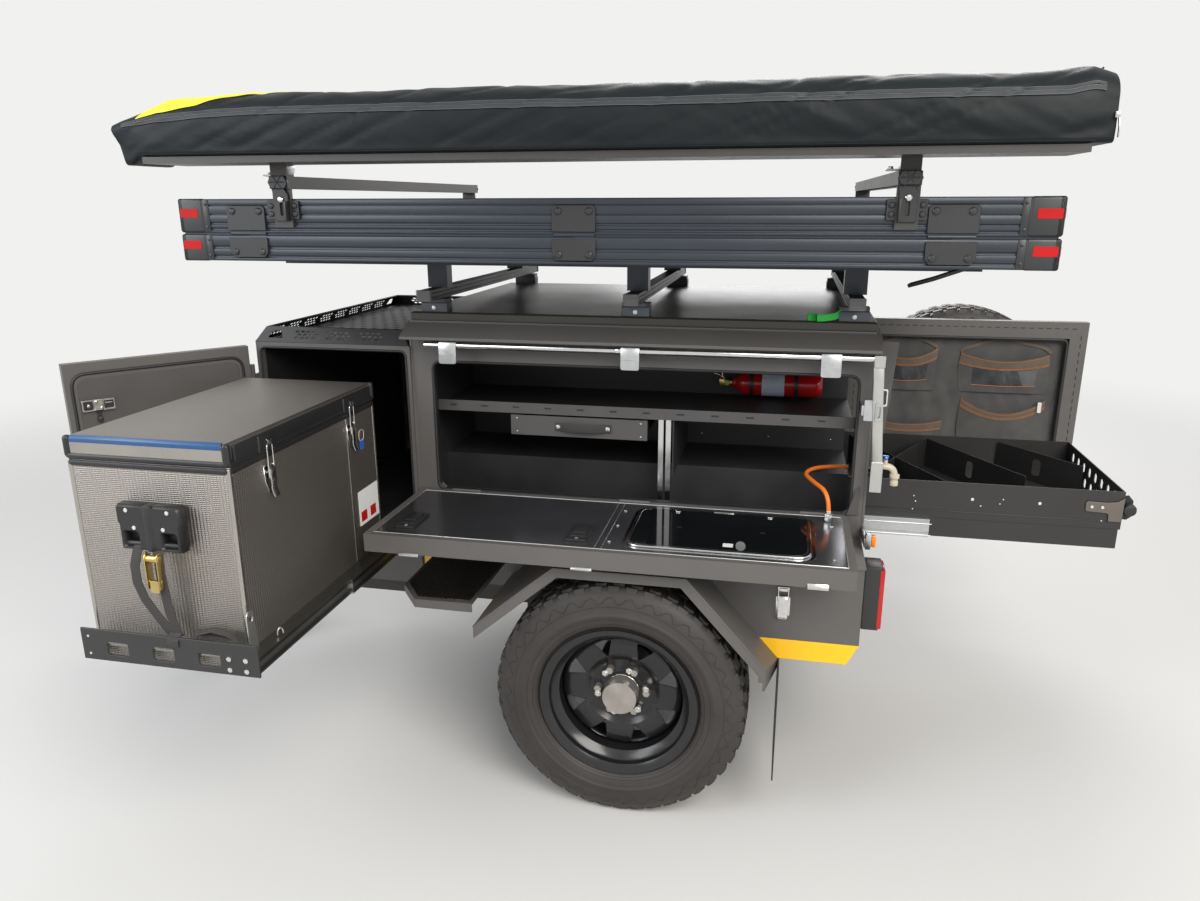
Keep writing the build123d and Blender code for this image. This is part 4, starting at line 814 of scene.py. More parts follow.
# Nose box and its tray.
# A sheet steel box between the drawbar and the main box, open on both sides for the fridge;
# on top lies a shallow tray whose sloping sides are cut out in windows and rows of lozenges.
NOSE_X0, NOSE_X1, NOSE_HALF = -1.195, -0.69, 0.5
for side, out in SIDES:
    seal = closed_line(
        "nose_seal_" + side, side_line(out * 0.5005, rectangle(-1.181, -0.703, 0.647, 1.255)), 0.0035,
    )
    dress(seal, "chassis", seal_rubber, "rubber")
for name, x in (("front", -1.1785), ("rear", -0.7055)):
    lining = pressed(
        "nose_lining_" + name, rectangle(-0.478, 0.478, 0.652, 1.25, 0.004), thick=0.0014, edge=0.0003, x=x,
    )
    dress(lining, "chassis", inner_black, "black_steel")
for name, z in (("floor", 0.6508), ("roof", 1.2512)):
    lining = pressed("nose_lining_" + name, rectangle(-1.177, -0.707, -0.499, 0.499, 0.004), thick=0.0014,
                     edge=0.0003, z=z)
    dress(lining, "chassis", inner_black, "black_steel")
tray_floor_holes = []
for i in range(11):
    for j in range(23):
        x = -1.143 + i * 0.04 + (0.02 if j % 2 else 0)
        y = -0.44 + j * 0.04
        if x < -0.735:
            tray_floor_holes.append([(x - 0.015, y), (x, y - 0.0075), (x + 0.015, y), (x, y + 0.0075)])
tray_floor = pressed(
    "tray_floor", rectangle(-1.171, -0.714, -0.476, 0.476, 0.006), tray_floor_holes, thick=0.002, edge=0.0003,
    z=1.2745,
)
tray_parts = [tray_floor]
lean = math.radians(32)
for name, start, stop, inward in (
    ("left", (NOSE_X0, -NOSE_HALF), (NOSE_X1 - 0.004, -NOSE_HALF), (0, 1)),
    ("right", (NOSE_X1 - 0.004, NOSE_HALF), (NOSE_X0, NOSE_HALF), (0, -1)),
    ("front", (NOSE_X0, NOSE_HALF), (NOSE_X0, -NOSE_HALF), (1, 0)),
    ("rear", (NOSE_X1 - 0.004, -NOSE_HALF), (NOSE_X1 - 0.004, NOSE_HALF), (-1, 0)),
):
    start3, stop3 = at(*start, 1.2705), at(*stop, 1.2705)
    long = (stop3 - start3).length
    rise = Vector((inward[0] * math.sin(lean), inward[1] * math.sin(lean), math.cos(lean)))
    tall = 0.051
    inset = tall * math.sin(lean)
    holes = []
    x = 0.04
    while name != "rear" and x < long - 0.09:
        if x < 0.06 or x > long - 0.14:
            holes.append(
                rounded([(x, 0.014), (x + 0.05, 0.014), (x + 0.04, 0.038), (x + 0.012, 0.038)], 0.005, 3),
            )
            x += 0.085
            continue
        for row in range(3):
            for column in range(4):
                hx = x + 0.01 + column * 0.0185 + (0.009 if row % 2 else 0)
                hy = 0.0155 + row * 0.0105
                holes.append([
                    (hx - 0.0075, hy), (hx - 0.0035, hy - 0.0036), (hx + 0.0035, hy - 0.0036),
                    (hx + 0.0075, hy), (hx + 0.0035, hy + 0.0036), (hx - 0.0035, hy + 0.0036),
                ])
        x += 0.105
    panel = pressed(
        "tray_side_" + name, [(0, 0), (long, 0), (long - inset, tall), (inset, tall)], holes, thick=0.0025,
        edge=0.0004, origin=start3, right=stop3 - start3, up=rise,
    )
    tray_parts.append(panel)
tray = joined("nose_tray_open", tray_parts)
bpy.ops.object.transform_apply(location=True, rotation=True, scale=True)
dress(tray, "chassis", inner_black, "charcoal", "nose_tray")
tray_edge = closed_line(
    "nose_tray_edge", top_line(1.3125, rectangle(-1.166, -0.722, -0.471, 0.471, 0.006)), 0.003,
)
dress(tray_edge, "chassis", inner_black, "charcoal")

# Nose doors.
# Folded steel doors 28 mm thick with a pressed inner panel inside a rubber seal, a bright slam latch near
# the free edge and two pin hinges on the front corner.
cover(charcoal, "nose_door_left", "nose_door_right")
for side, out, turn in (("left", -1, -128), ("right", 1, 0)):
    hinge = at(-1.203, out * 0.52, 0)
    swing = Matrix.Rotation(math.radians(turn), 3, "Z")

    def on_door(u, n, z):
        """A point on the door: along it from the hinge, inwards from its middle, and up."""
        return hinge + swing @ Vector((u, -out * n, 0)) + Vector((0, 0, z))

    along, inwards = swing @ Vector(LENGTHWISE), swing @ Vector((0, -out, 0))
    door = "nose_door_" + side

    def on_plate(name, n, outline, thick, edge, holes=()):
        """A plate on the door, n inwards from its middle."""
        return pressed(name, outline, holes, thick, edge, origin=on_door(0, n, 0), right=along)

    panel = on_plate(
        "door_panel_" + side, 0.0152, rectangle(0.045, 0.478, 0.684, 1.218, 0.028), 0.0035, 0.0012,
    )
    dress(panel, door, charcoal_dark, "charcoal")
    groove = [on_door(u, 0.0145, z) for u, z in rectangle(0.032, 0.491, 0.67, 1.232, 0.04)]
    dress(closed_line("door_seal_" + side, groove, 0.0045), door, seal_rubber, "rubber")
    windows = [rectangle(0.449, 0.472, 1.1325, 1.1555, 0.003), rectangle(0.398, 0.421, 1.1335, 1.1545, 0.003)]
    latch = [
        on_plate("plate", 0.0262, rectangle(0.394, 0.476, 1.128, 1.16, 0.003), 0.0025, 0.0008, windows),
        on_plate("case", 0.0285, rectangle(0.424, 0.446, 1.129, 1.159, 0.003), 0.005, 0.0015),
    ]
    for u, z in ((0.429, 1.135), (0.441, 1.153), (0.4605, 1.144)):
        latch.append(round_bar("bolt", on_door(u, 0.031, z), 0.0045, 0.004, inwards, edge=0.001))
    latch.append(on_plate("tongue", 0.025, rectangle(0.4, 0.42, 1.146, 1.151, 0.0015), 0.004, 0.001))
    dress(joined("door_latch_" + side, latch), door, bright_metal, "galvanised")
    lock = [
        on_plate("bed", 0.0208, rectangle(0.395, 0.475, 1.129, 1.159, 0.003), 0.008, 0.001),
        on_plate("neck", 0.0195, rectangle(0.43, 0.44, 1.1, 1.13, 0.002), 0.005, 0.001),
        round_bar("barrel", on_door(0.435, 0.023, 1.103), 0.0075, 0.012, inwards),
    ]
    dress(joined("door_lock_" + side, lock), door, satin_black, "black_plastic")
    paddle = on_plate(
        "door_paddle_" + side, -0.0158, rectangle(0.395, 0.475, 1.11, 1.19, 0.012), 0.004, 0.0015,
    )
    dress(paddle, door, satin_black, "black_plastic")
    pull = on_plate("door_pull_" + side, -0.0205, rectangle(0.402, 0.468, 1.122, 1.158, 0.008), 0.007, 0.002)
    dress(pull, door, satin_black, "black_plastic")

# Kitchen fittings.
# A folded shelf with a slotted lip, a shallow cutlery drawer hung under it with a webbing pull, a polished
# rail under the eaves with three spring clips, and two bright posts that hold the camp table.
polished = finish_of(
    "polished", (0.62, 0.62, 0.62), 0.16, metal=1.0, grain=120, bump=0.04, vary=0.08, patch=40,
)
webbing = blank("webbing")
rows = layer(webbing, "TexWave", "Fac", layer(webbing, "TexCoord", "Object"), Scale=420, Distortion=1.5)
tone = layer(webbing, "Mix", "Result", data_type="RGBA", Factor=rows, A=(0.018, 0.017, 0.017, 1),
             B=(0.055, 0.05, 0.047, 1))
relief = layer(webbing, "Bump", "Normal", Height=rows, Strength=0.4, Distance=0.0005)
coat(webbing, Base_Color=tone, Roughness=0.8, Normal=relief)
cover(polished, "table_posts")
cover(charcoal_dark, "cutlery_drawer")
slots = [rectangle(x, x + 0.022, 1.08, 1.085, 0.002, 2) for x in [-0.6 + 0.1 * n for n in range(12)]]
lip = pressed("shelf_lip", rectangle(-0.662, 0.6, 1.0645, 1.0975, 0.001), slots, **LINER,
              y=-0.4262)
dress(lip, "chassis", charcoal_dark, "charcoal")
pull_line = [(-0.265, -0.4325), (-0.25, -0.433), (-0.238, -0.4385), (-0.215, -0.4445), (-0.18, -0.447),
             (-0.145, -0.4445), (-0.122, -0.4385), (-0.11, -0.433), (-0.095, -0.4325)]
pull = strap("drawer_pull", top_line(1.03, pull_line), 0.024, 0.003, UPRIGHT)
dress(pull, "cutlery_drawer", webbing, "black_plastic")
studs = [
    round_bar("stud", at(x, -0.435, 1.03), 0.007, 0.004, CROSSWISE, 0.0015, 16) for x in (-0.256, -0.104)
]
studs += [
    round_bar("stud", at(x, -0.43, z), 0.003, 0.003, CROSSWISE, 0.001, 10)
    for x in (-0.385, -0.005)
    for z in (1.01, 1.05)
]
dress(joined("drawer_studs", studs), "cutlery_drawer", bright_metal, "galvanised")

rail_tube = round_bar("rail_tube", at(0.009, -0.552, 1.286), 0.0095, 1.256, LENGTHWISE, 0.002, 32)
dress(rail_tube, "chassis", polished, "stainless", "hanging_rail")
rail_end = [
    round_bar("brace", at(x, -0.522, 1.287), 0.006, 0.062, CROSSWISE, 0.001, 16) for x in (-0.605, 0.59)
]
rail_end.append(round_bar("ferrule", at(-0.035, -0.552, 1.286), 0.0112, 0.045, LENGTHWISE, 0.001, 32))
dress(joined("rail_ends", rail_end), "chassis", polished, "stainless")
for number, x in enumerate((-0.546, -0.016, 0.52)):
    bend = [
        (-0.5525, 1.2975), (-0.56, 1.2955), (-0.5635, 1.288), (-0.5638, 1.27), (-0.563, 1.25),
        (-0.5645, 1.238),
    ]
    clip = strap(f"rail_clip_{number}", end_line(x, bend), 0.052, 0.0022, LENGTHWISE)
    tip = pressed(
        "tip", rectangle(x - 0.026, x + 0.026, 1.2345, 1.262, 0.007), thick=0.0026, edge=0.0006, y=-0.5652,
    )
    dress(joined(f"rail_clip_{number}", [clip, tip]), "chassis", zinc, "galvanised")

# Fire extinguisher.
# A one-kilogram dry-powder bottle lying in a bracket on the back panel: drawn red shell, bright valve
# with two levers, a gauge and a plain paper band.
red_gloss = finish_of("red_gloss", (0.48, 0.008, 0.01), 0.2, grain=80, bump=0.04, vary=0.08)
paper_band = finish_of("paper_band", (0.62, 0.68, 0.78), 0.5, grain=200, bump=0.03, patch=60)
brass = finish_of("brass", (0.55, 0.42, 0.16), 0.3, metal=1.0, grain=150, bump=0.05)
shell_profile = [
    (0.0, 0.135), (0.03, 0.135), (0.034, 0.132), (0.0385, 0.124), (0.04, 0.112), (0.04, -0.098),
    (0.0375, -0.112), (0.031, -0.124), (0.022, -0.131), (0.016, -0.134), (0.0155, -0.148), (0.0, -0.148),
]
BOTTLE_Y, BOTTLE_Z = -0.088, 1.118


def lying(piece, x):
    """Lay a turned piece along the trailer, on the bottle's axis."""
    piece.rotation_euler = (0, math.radians(90), 0)
    piece.location = at(x, BOTTLE_Y, BOTTLE_Z)
    return piece


def hoop(name, radius, thick, low, high):
    """A thin band round the bottle."""
    return turned(
        name, [(radius, low), (radius + thick, low), (radius + thick, high), (radius, high)], steps=48,
    )


shell = lying(turned("bottle", shell_profile, steps=48), 0.385)
dress(shell, "chassis", red_gloss, "red_paint", "fire_extinguisher")
band = lying(hoop("bottle_band", 0.0402, 0.0004, -0.052, 0.018), 0.385)
dress(band, "chassis", paper_band, "charcoal")
valve = [round_bar("valve", at(0.226, BOTTLE_Y, BOTTLE_Z), 0.012, 0.03, LENGTHWISE, 0.002),
         block("head", at(0.196, -0.098, 1.106), at(0.216, -0.078, 1.13), 0.004)]
upper_lever = side_line(BOTTLE_Y, [(0.212, 1.132), (0.196, 1.142), (0.18, 1.146)])
lower_lever = side_line(BOTTLE_Y, [(0.214, 1.128), (0.206, 1.14), (0.205, 1.152)])
levers = [strap("lever", upper_lever, 0.016, 0.003, CROSSWISE),
          strap("lever", lower_lever, 0.014, 0.003, CROSSWISE)]
dress(joined("bottle_valve", valve), "chassis", brass, "galvanised")
dress(joined("bottle_levers", levers), "chassis", bright_metal, "galvanised")
gauge = round_bar("bottle_gauge", at(0.222, -0.102, BOTTLE_Z), 0.009, 0.006, CROSSWISE)
dress(gauge, "chassis", finish_of("gauge_green", (0.45, 0.62, 0.05), 0.3, vary=0.1), "lamp_red")
bracket = [block("bracket", at(0.332, -0.0495, 1.09), at(0.344, -0.0415, 1.146), 0.001)]
for x in (0.3, 0.44):
    bracket.append(lying(hoop("ring", 0.0408, 0.0014, -0.006, 0.006), x))
    bracket.append(block("foot", at(x - 0.006, -0.05, 1.108), at(x + 0.006, -0.0412, 1.128), 0.001))
bracket = joined("bottle_bracket", bracket)
dress(bracket, "chassis", satin_black, "black_plastic")

# Kitchen hatch and worktop.
# The side hatch folds down into a table: a charcoal frame around two dark stainless sheets, the left one with
# paddle latches let in, the right one around the hob, every cut edge left bright.
dark_steel = finish_of(
    "dark_steel", (0.15, 0.152, 0.165), 0.2, metal=0.8, grain=260, bump=0.05, vary=0.25, patch=7,
)
cut_edge = finish_of("cut_edge", (0.78, 0.78, 0.76), 0.3, metal=0.9, grain=150, bump=0.03, vary=0.1)
cover(charcoal, "hatch_left")
cover(dark_steel, "worktop")
PLATE_X0, PLATE_X1, PLATE_Y0, PLATE_Y1, PLATE_TOP = -0.657, 0.578, -0.875, -0.515, 0.83
HOB_X0, HOB_X1, HOB_Y0, HOB_Y1 = 0.02, 0.492, -0.845, -0.55
edge_line = closed_line(
    "worktop_edge", top_line(PLATE_TOP + 0.0002, rectangle(PLATE_X0, PLATE_X1, PLATE_Y0, PLATE_Y1, 0.002)),
    0.0013,
)
seams = [edge_line]
for x in (-0.052, -0.034):
    seams.append(
        round_bar(
            "seam", at(x, (PLATE_Y0 + PLATE_Y1) / 2, PLATE_TOP + 0.0001), 0.001, PLATE_Y1 - PLATE_Y0 - 0.002,
            CROSSWISE, 0.0002, 8,
        ),
    )
dress(joined("worktop_edges", seams), "kitchen_hatch", cut_edge, "stainless")
studs = []
for x, y in ((-0.022, -0.58), (-0.022, -0.7), (-0.022, -0.82), (0.545, -0.835), (0.548, -0.6)):
    studs.append(round_bar("stud", at(x, y, PLATE_TOP + 0.0016), 0.0055, 0.0028, UPRIGHT, 0.0012, 16))
dress(joined("worktop_studs", studs), "kitchen_hatch", bright_metal, "galvanised")
for number, x in enumerate((-0.585, -0.108)):
    base = block("base", at(x - 0.027, -0.838, PLATE_TOP), at(x + 0.027, -0.722, PLATE_TOP + 0.0065))
    dished = block(
        "dished", at(x - 0.02, -0.815, PLATE_TOP + 0.004), at(x + 0.02, -0.745, PLATE_TOP + 0.0085), 0.0015,
    )
    lever = block(
        "lever", at(x - 0.016, -0.795, PLATE_TOP + 0.0075), at(x + 0.016, -0.732, PLATE_TOP + 0.011), 0.0014,
    )
    latch = joined(f"worktop_latch_{number}", [base, dished, lever])
    dress(latch, "kitchen_hatch", satin_black, "black_plastic")
    key = round_bar(
        f"worktop_key_{number}", at(x, -0.826, PLATE_TOP + 0.007), 0.006, 0.003, UPRIGHT, 0.0008, 20,
    )
    dress(key, "kitchen_hatch", zinc, "galvanised")
rim = pressed("hob_rim", rectangle(HOB_X0 - 0.012, HOB_X1 + 0.012, HOB_Y0 - 0.012, HOB_Y1 + 0.01, 0.05, 10),
              [rectangle(HOB_X0 + 0.014, HOB_X1 - 0.014, HOB_Y0 + 0.014, HOB_Y1 - 0.014, 0.04, 10)],
              thick=0.002, edge=0.0009, z=PLATE_TOP - 0.0009)
dress(rim, "kitchen_hatch", polished, "stainless")

# Hob under its glass lid.
# Two burners stand in the pressed well, with cast supports and caps; a black glass lid with a folded
# stainless edge lies over them on two round hinge pins.
glass_black = finish_of("glass_black", (0.006, 0.007, 0.008), 0.035, grain=60, bump=0.01, vary=0.2, patch=5)
coat(glass_black, Coat_Weight=0.6)
lid_glass = pressed(
    "hob_glass", rectangle(HOB_X0 + 0.01, HOB_X1 - 0.01, HOB_Y0 + 0.01, HOB_Y1 - 0.01, 0.038, 10),
    thick=0.0046, z=0.8341,
)
dress(lid_glass, "hob_lid", glass_black, "glass_black", "hob_lid")
lid_frame = pressed("hob_lid_frame", rectangle(HOB_X0, HOB_X1, HOB_Y0, HOB_Y1, 0.046, 10),
                    [rectangle(HOB_X0 + 0.009, HOB_X1 - 0.009, HOB_Y0 + 0.009, HOB_Y1 - 0.009, 0.037, 10)],
                    thick=0.0058, edge=0.0016, z=0.8334)
dress(lid_frame, "hob_lid", polished, "stainless")
studs = [round_bar("stud", at(x, -0.572, 0.8378), 0.009, 0.004, UPRIGHT, 0.0018, 20) for x in (0.128, 0.384)]
studs.append(block("pull", at(0.228, -0.5625, 0.8362), at(0.284, -0.558, 0.8385), 0.0008))
dress(joined("hob_lid_pins", studs), "hob_lid", bright_metal, "galvanised")
label = pressed(
    "hob_label", rectangle(0.27, 0.296, -0.812, -0.789, 0.002, 2), thick=0.0008, edge=0.0002, z=0.8366,
)
blank_label = finish_of("blank_label", (0.7, 0.7, 0.66), 0.5, grain=90, vary=0.1, patch=50)
dress(label, "hob_lid", blank_label, "stainless")
disc = turned(
    "hob_disc", [(0.0, 0.0009), (0.0125, 0.0009), (0.0125, 0.0), (0.0, 0.0)], at(0.315, -0.8, 0.8366), 1, 28,
)
dress(disc, "hob_lid", zinc, "stainless")
cast_iron = finish_of("cast_iron", (0.012, 0.012, 0.012), 0.6, grain=900, bump=0.3, depth=0.0003)
cap_profile = [
    (0.0, 0.016), (0.02, 0.016), (0.026, 0.014), (0.029, 0.01), (0.029, 0.007), (0.033, 0.006), (0.034, 0.0),
    (0.0, 0.0),
]
for number, x in enumerate((0.145, 0.367)):
    cap = turned("cap", cap_profile, at(x, -0.6975, 0.8035), 1, 40)
    arms = []
    for k in range(4):
        turn = math.radians(45 + 90 * k)
        way = Vector((math.cos(turn), math.sin(turn), 0))
        # Along an arm: how far out and how high.
        bend = ((0.03, 0.8235), (0.048, 0.8245), (0.072, 0.8145), (0.07632, 0.799))
        arms.append(strap("arm", [at(x, -0.6975, z) + way * far for far, z in bend], 0.005, 0.005,
                          (-math.sin(turn), math.cos(turn), 0)))
    dress(joined(f"burner_{number}", [cap] + arms), "kitchen_hatch", cast_iron, "black_steel")

# Gas union, toggle latches and the table's strut.
# The hose is screwed to a brass union at the back of the worktop, the hatch is held by chrome toggle
# latches, and a flat aluminium strut runs down from the end of the rail with its hinge plates.
union_parts = [round_bar("union", at(0.54, -0.552, 0.842), 0.0105, 0.02, UPRIGHT, 0.0015, 6),
               round_bar("union", at(0.54, -0.552, 0.855), 0.0075, 0.012, UPRIGHT, 0.001),
               round_bar("union", at(0.5402, -0.54, 0.836), 0.0065, 0.02, CROSSWISE, 0.001, 6)]
dress(joined("gas_union", union_parts), "kitchen_hatch", bright_metal, "galvanised")
catch = strap(
    "toggle_catch", end_line(0.508, [(-0.8965, 0.792), (-0.9, 0.785), (-0.8985, 0.778), (-0.894, 0.776)]),
    0.05, 0.0022, LENGTHWISE,
)
dress(catch, "kitchen_hatch", bright_metal, "galvanised")
pull_bend = ((-0.8955, 0.784), (-0.9, 0.78), (-0.899, 0.777), (-0.89, 0.7765))
pulls = [strap("hatch_pull", end_line(x, pull_bend), 0.055, 0.002, LENGTHWISE) for x in (-0.08, -0.55)]
dress(joined("hatch_pulls", pulls), "kitchen_hatch", zinc, "galvanised")
aluminium = finish_of("aluminium", (0.5, 0.5, 0.48), 0.34, metal=0.9, grain=240, bump=0.06, patch=12)
strut_line = [at(0.64, -0.556, 1.278), at(0.643, -0.556, 1.23), at(0.646, -0.552, 1.17),
              at(0.652, -0.546, 1.08), at(0.659, -0.54, 0.995)]
arm = [
    strap("arm", strut_line, 0.027, 0.006, LENGTHWISE),
    pressed("arm", rectangle(0.6275, 0.656, 1.264, 1.296, 0.002), thick=0.016, edge=0.0015, y=-0.556),
    pressed("arm", rectangle(0.6425, 0.674, 0.919, 1.005, 0.002), thick=0.012, edge=0.0015, y=-0.54),
]
dress(joined("table_strut", arm), "chassis", aluminium, "galvanised")
hinge = [
    pressed("hinge", rectangle(0.612, 0.636, 1.118, 1.176, 0.004), thick=0.004, y=-0.5475),
    pressed(
        "hinge", rectangle(0.64, 0.658, 1.12, 1.17, 0.004), [rectangle(0.645, 0.653, 1.13, 1.16, 0.003)],
        thick=0.004, y=-0.557,
    ),
    block("hinge", at(0.612, -0.549, 1.124), at(0.654, -0.544, 1.168), 0.001),
    block("hinge", at(0.606, -0.547, 1.132), at(0.626, -0.49, 1.16), 0.001),
]
dress(joined("strut_hinge", hinge), "chassis", zinc, "galvanised")
flange_line = [(0.638, 0.972), (0.66, 0.972), (0.669, 1.03), (0.68, 1.13), (0.688, 1.24), (0.694, 1.322),
               (0.638, 1.322)]
flange = pressed("corner_flange", flange_line, [rectangle(0.662, 0.674, 1.15, 1.19, 0.005)],
                 edge=0.0007, y=-0.487)
dress(flange, "chassis", charcoal_dark, "charcoal")
trim = pressed(
    "corner_slot", rectangle(0.659, 0.677, 1.146, 1.194, 0.006),
    [rectangle(0.6625, 0.6735, 1.1505, 1.1895, 0.0045)], thick=0.0042, edge=0.0006, y=-0.487,
)
dress(trim, "chassis", cut_edge, "stainless")
cream = finish_of("cream_plastic", (0.5, 0.44, 0.34), 0.4, grain=150, bump=0.05, vary=0.1)
blue = finish_of("blue_plastic", (0.02, 0.1, 0.42), 0.3, grain=150, bump=0.05, vary=0.1)
pipe = [(0.64, 0.972), (0.69, 0.972), (0.708, 0.967), (0.716, 0.95), (0.716, 0.93)]
tap = [thickened(run("tap", side_line(-0.462, pipe)), 0.0095, 4, capped=True)]
tap.append(round_bar("tap", at(0.716, -0.462, 0.944), 0.0135, 0.012, UPRIGHT, 0.002))
tap.append(round_bar("tap", at(0.716, -0.462, 0.924), 0.011, 0.014, UPRIGHT, 0.002))
tap.append(round_bar("tap", at(0.668, -0.462, 0.972), 0.0145, 0.016, LENGTHWISE, 0.002))
tap.append(round_bar("tap", at(0.688, -0.462, 0.985), 0.007, 0.018, UPRIGHT, 0.001, 20))
dress(joined("water_tap", tap), "chassis", cream, "black_plastic")
lever = [
    round_bar("lever", at(0.688, -0.462, 0.998), 0.009, 0.008, UPRIGHT, 0.002, 20),
    block("lever", at(0.684, -0.49, 0.996), at(0.692, -0.462, 1.001), 0.0015),
]
dress(joined("tap_lever", lever), "chassis", blue, "black_plastic")
marker = [
    block("marker", at(0.64, -0.592, 0.77), at(0.655, -0.56, 0.812)),
    block("marker", at(0.636, -0.588, 0.775), at(0.646, -0.49, 0.8), 0.001),
]
dress(joined("marker_bracket", marker), "chassis", zinc, "galvanised")
lens = block("marker_lens", at(0.655, -0.59, 0.776), at(0.668, -0.564, 0.806), 0.004)
dress(lens, "chassis", amber_lens, "lamp_red")
gusset = pressed(
    "jamb_gusset", [(0.592, 0.832), (0.622, 0.832), (0.622, 0.915), (0.612, 0.905), (0.606, 0.88)],
    thick=0.004, edge=0.001, y=-0.493,
)
dress(gusset, "chassis", charcoal_dark, "charcoal")

# Right hatch.
# The hatch of the other side stays shut: a folded panel with a pressed field, its seal line and two flush
# paddle latches near the lower edge.
cover(charcoal, "hatch_right")
field = pressed(
    "right_field", rectangle(-0.632, 0.554, 0.875, 1.185, 0.03), thick=0.0035, edge=0.0012, y=0.545,
)
dress(field, "right_hatch", charcoal, "charcoal")
for number, x in enumerate((-0.42, 0.34)):
    plate = pressed(
        "plate", rectangle(x - 0.06, x + 0.06, 0.835, 0.869, 0.008), thick=0.005, edge=0.0015, y=0.546,
    )
    paddle = pressed(
        "paddle", rectangle(x - 0.046, x + 0.03, 0.841, 0.863, 0.005), thick=0.006, edge=0.0015, y=0.549,
    )
    dress(joined(f"right_latch_{number}", [plate, paddle]), "right_hatch", satin_black, "black_plastic")
    key = round_bar(f"right_key_{number}", at(x + 0.043, 0.549, 0.852), 0.006, 0.003, CROSSWISE, 0.0008, 20)
    dress(key, "right_hatch", zinc, "galvanised")

# Fridge.
# A chest fridge in dimpled stainless sheet: bright rounded corners, a lid with black plastic caps and a plain
# steel band in front, wire toggle latches on the long side and a two-lobed handle on the front.


def waves(finish, axes, ripple, blend):
    """Ripples on an axis each, given as (axis, length of one wave), added up or multiplied."""
    place = layer(finish, "SeparateXYZ", "X", layer(finish, "TexCoord", "Object")).node
    total = None
    for axis, period in axes:
        turns = layer(finish, "Math", 0, place.outputs[axis], 2 * math.pi / period, operation="MULTIPLY")
        wave = layer(finish, "Math", 0, turns, operation=ripple)
        total = wave if total is None else layer(finish, "Math", 0, total, wave, operation=blend)
    return total


dimpled = blank("dimpled")
dimples = waves(dimpled, (("X", 0.0085), ("Y", 0.0085), ("Z", 0.0046)), "COSINE", "ADD")
relief = layer(dimpled, "Bump", "Normal", Height=dimples, Strength=0.55, Distance=0.0006)
gloss = layer(dimpled, "MapRange", "Result", Value=dimples, From_Min=-3, From_Max=3, To_Min=0.24, To_Max=0.42)
coat(dimpled, Base_Color=(0.3, 0.275, 0.25, 1), Metallic=0.9, Roughness=gloss, Normal=relief)
brushed = finish_of(
    "brushed", (0.42, 0.395, 0.36), 0.28, metal=0.95, grain=300, bump=0.05, vary=0.15, patch=8,
)
lid_plastic = finish_of("lid_plastic", (0.012, 0.012, 0.013), 0.42, grain=800, bump=0.15)
blue_film = finish_of("blue_film", (0.018, 0.07, 0.18), 0.3, grain=200, bump=0.05, vary=0.15)
FRIDGE_X0, FRIDGE_X1, FRIDGE_Y0, FRIDGE_Y1, FRIDGE_Z0, FRIDGE_Z1 = -1.165, -0.76, -1.31, -0.62, 0.696, 1.13
cover(dimpled, "fridge_body")
rail_zinc_groove_shade = finish_of(
    "rail_zinc_groove_shade", (0.42, 0.42, 0.39), 0.3, metal=1.0, grain=180, bump=0.12, vary=0.14, patch=30,
)
# Painted shade: a colour ramp up the rails' height darkens the bands where their profile's grooves would lie
# in shade, over plain zinc.
height = layer(rail_zinc_groove_shade, "SeparateXYZ", "Z", layer(rail_zinc_groove_shade, "TexCoord", "Object"))
share = layer(
    rail_zinc_groove_shade, "MapRange", "Result", Value=height, From_Min=at(0, 0, 0.656).z, From_Max=at(0, 0, 0.696).z,
)
groove_shade = layer(rail_zinc_groove_shade, "ValToRGB", "Color", share)
groove_shade_stops = groove_shade.node.color_ramp.elements
for place, shade in (
    (0.1, 1.0), (0.16, 0.25), (0.4, 0.55), (0.46, 1.0), (0.72, 1.0), (0.78, 0.3), (0.9, 0.45)
):
    groove_shade_stops.new(place).color = (0.42 * shade, 0.42 * shade, 0.39 * shade, 1)
groove_shade_stops[0].color = (0.16, 0.16, 0.15, 1)
groove_shade_stops[-1].color = (0.35, 0.35, 0.33, 1)
coat(rail_zinc_groove_shade, Base_Color=groove_shade)
cover(rail_zinc_groove_shade, "fridge_tray", "fridge_rails_middle", "slide_rails_fixed")
corners = []
for x, y in ((FRIDGE_X0, FRIDGE_Y0), (FRIDGE_X1, FRIDGE_Y0), (FRIDGE_X0, FRIDGE_Y1), (FRIDGE_X1, FRIDGE_Y1)):
    dx = 1 if x == FRIDGE_X0 else -1
    dy = 1 if y == FRIDGE_Y0 else -1
    corners.append(block("corner", at(x - dx * 0.0012, y - dy * 0.0012, FRIDGE_Z0 + 0.001),
                         at(x + dx * 0.01, y + dy * 0.01, FRIDGE_Z1 - 0.001), 0.0035, 4))
dress(joined("fridge_corners", corners), "fridge", brushed, "stainless")
collar = pressed(
    "fridge_collar",
    rectangle(FRIDGE_X0 - 0.003, FRIDGE_X1 + 0.003, FRIDGE_Y0 - 0.003, FRIDGE_Y1 + 0.003, 0.014),
    [rectangle(FRIDGE_X0 + 0.0015, FRIDGE_X1 - 0.0015, FRIDGE_Y0 + 0.0015, FRIDGE_Y1 - 0.0015, 0.012)],
    thick=0.014, edge=0.003, z=FRIDGE_Z1 - 0.0075,
)
dress(collar, "fridge", lid_plastic, "black_plastic")
seam_x, seam_y = FRIDGE_X1 - 0.001, -0.785
seam = [block("seam", at(seam_x, seam_y - 0.0015, FRIDGE_Z0 + 0.002),
              at(FRIDGE_X1 + 0.0012, seam_y + 0.0015, FRIDGE_Z1 - 0.016), 0.0005),
        block("seam", at(seam_x, seam_y, 0.902), at(FRIDGE_X1 + 0.001, FRIDGE_Y1 - 0.001, 0.9045), 0.0004)]
dress(joined("fridge_seam", seam), "fridge", brushed, "stainless")
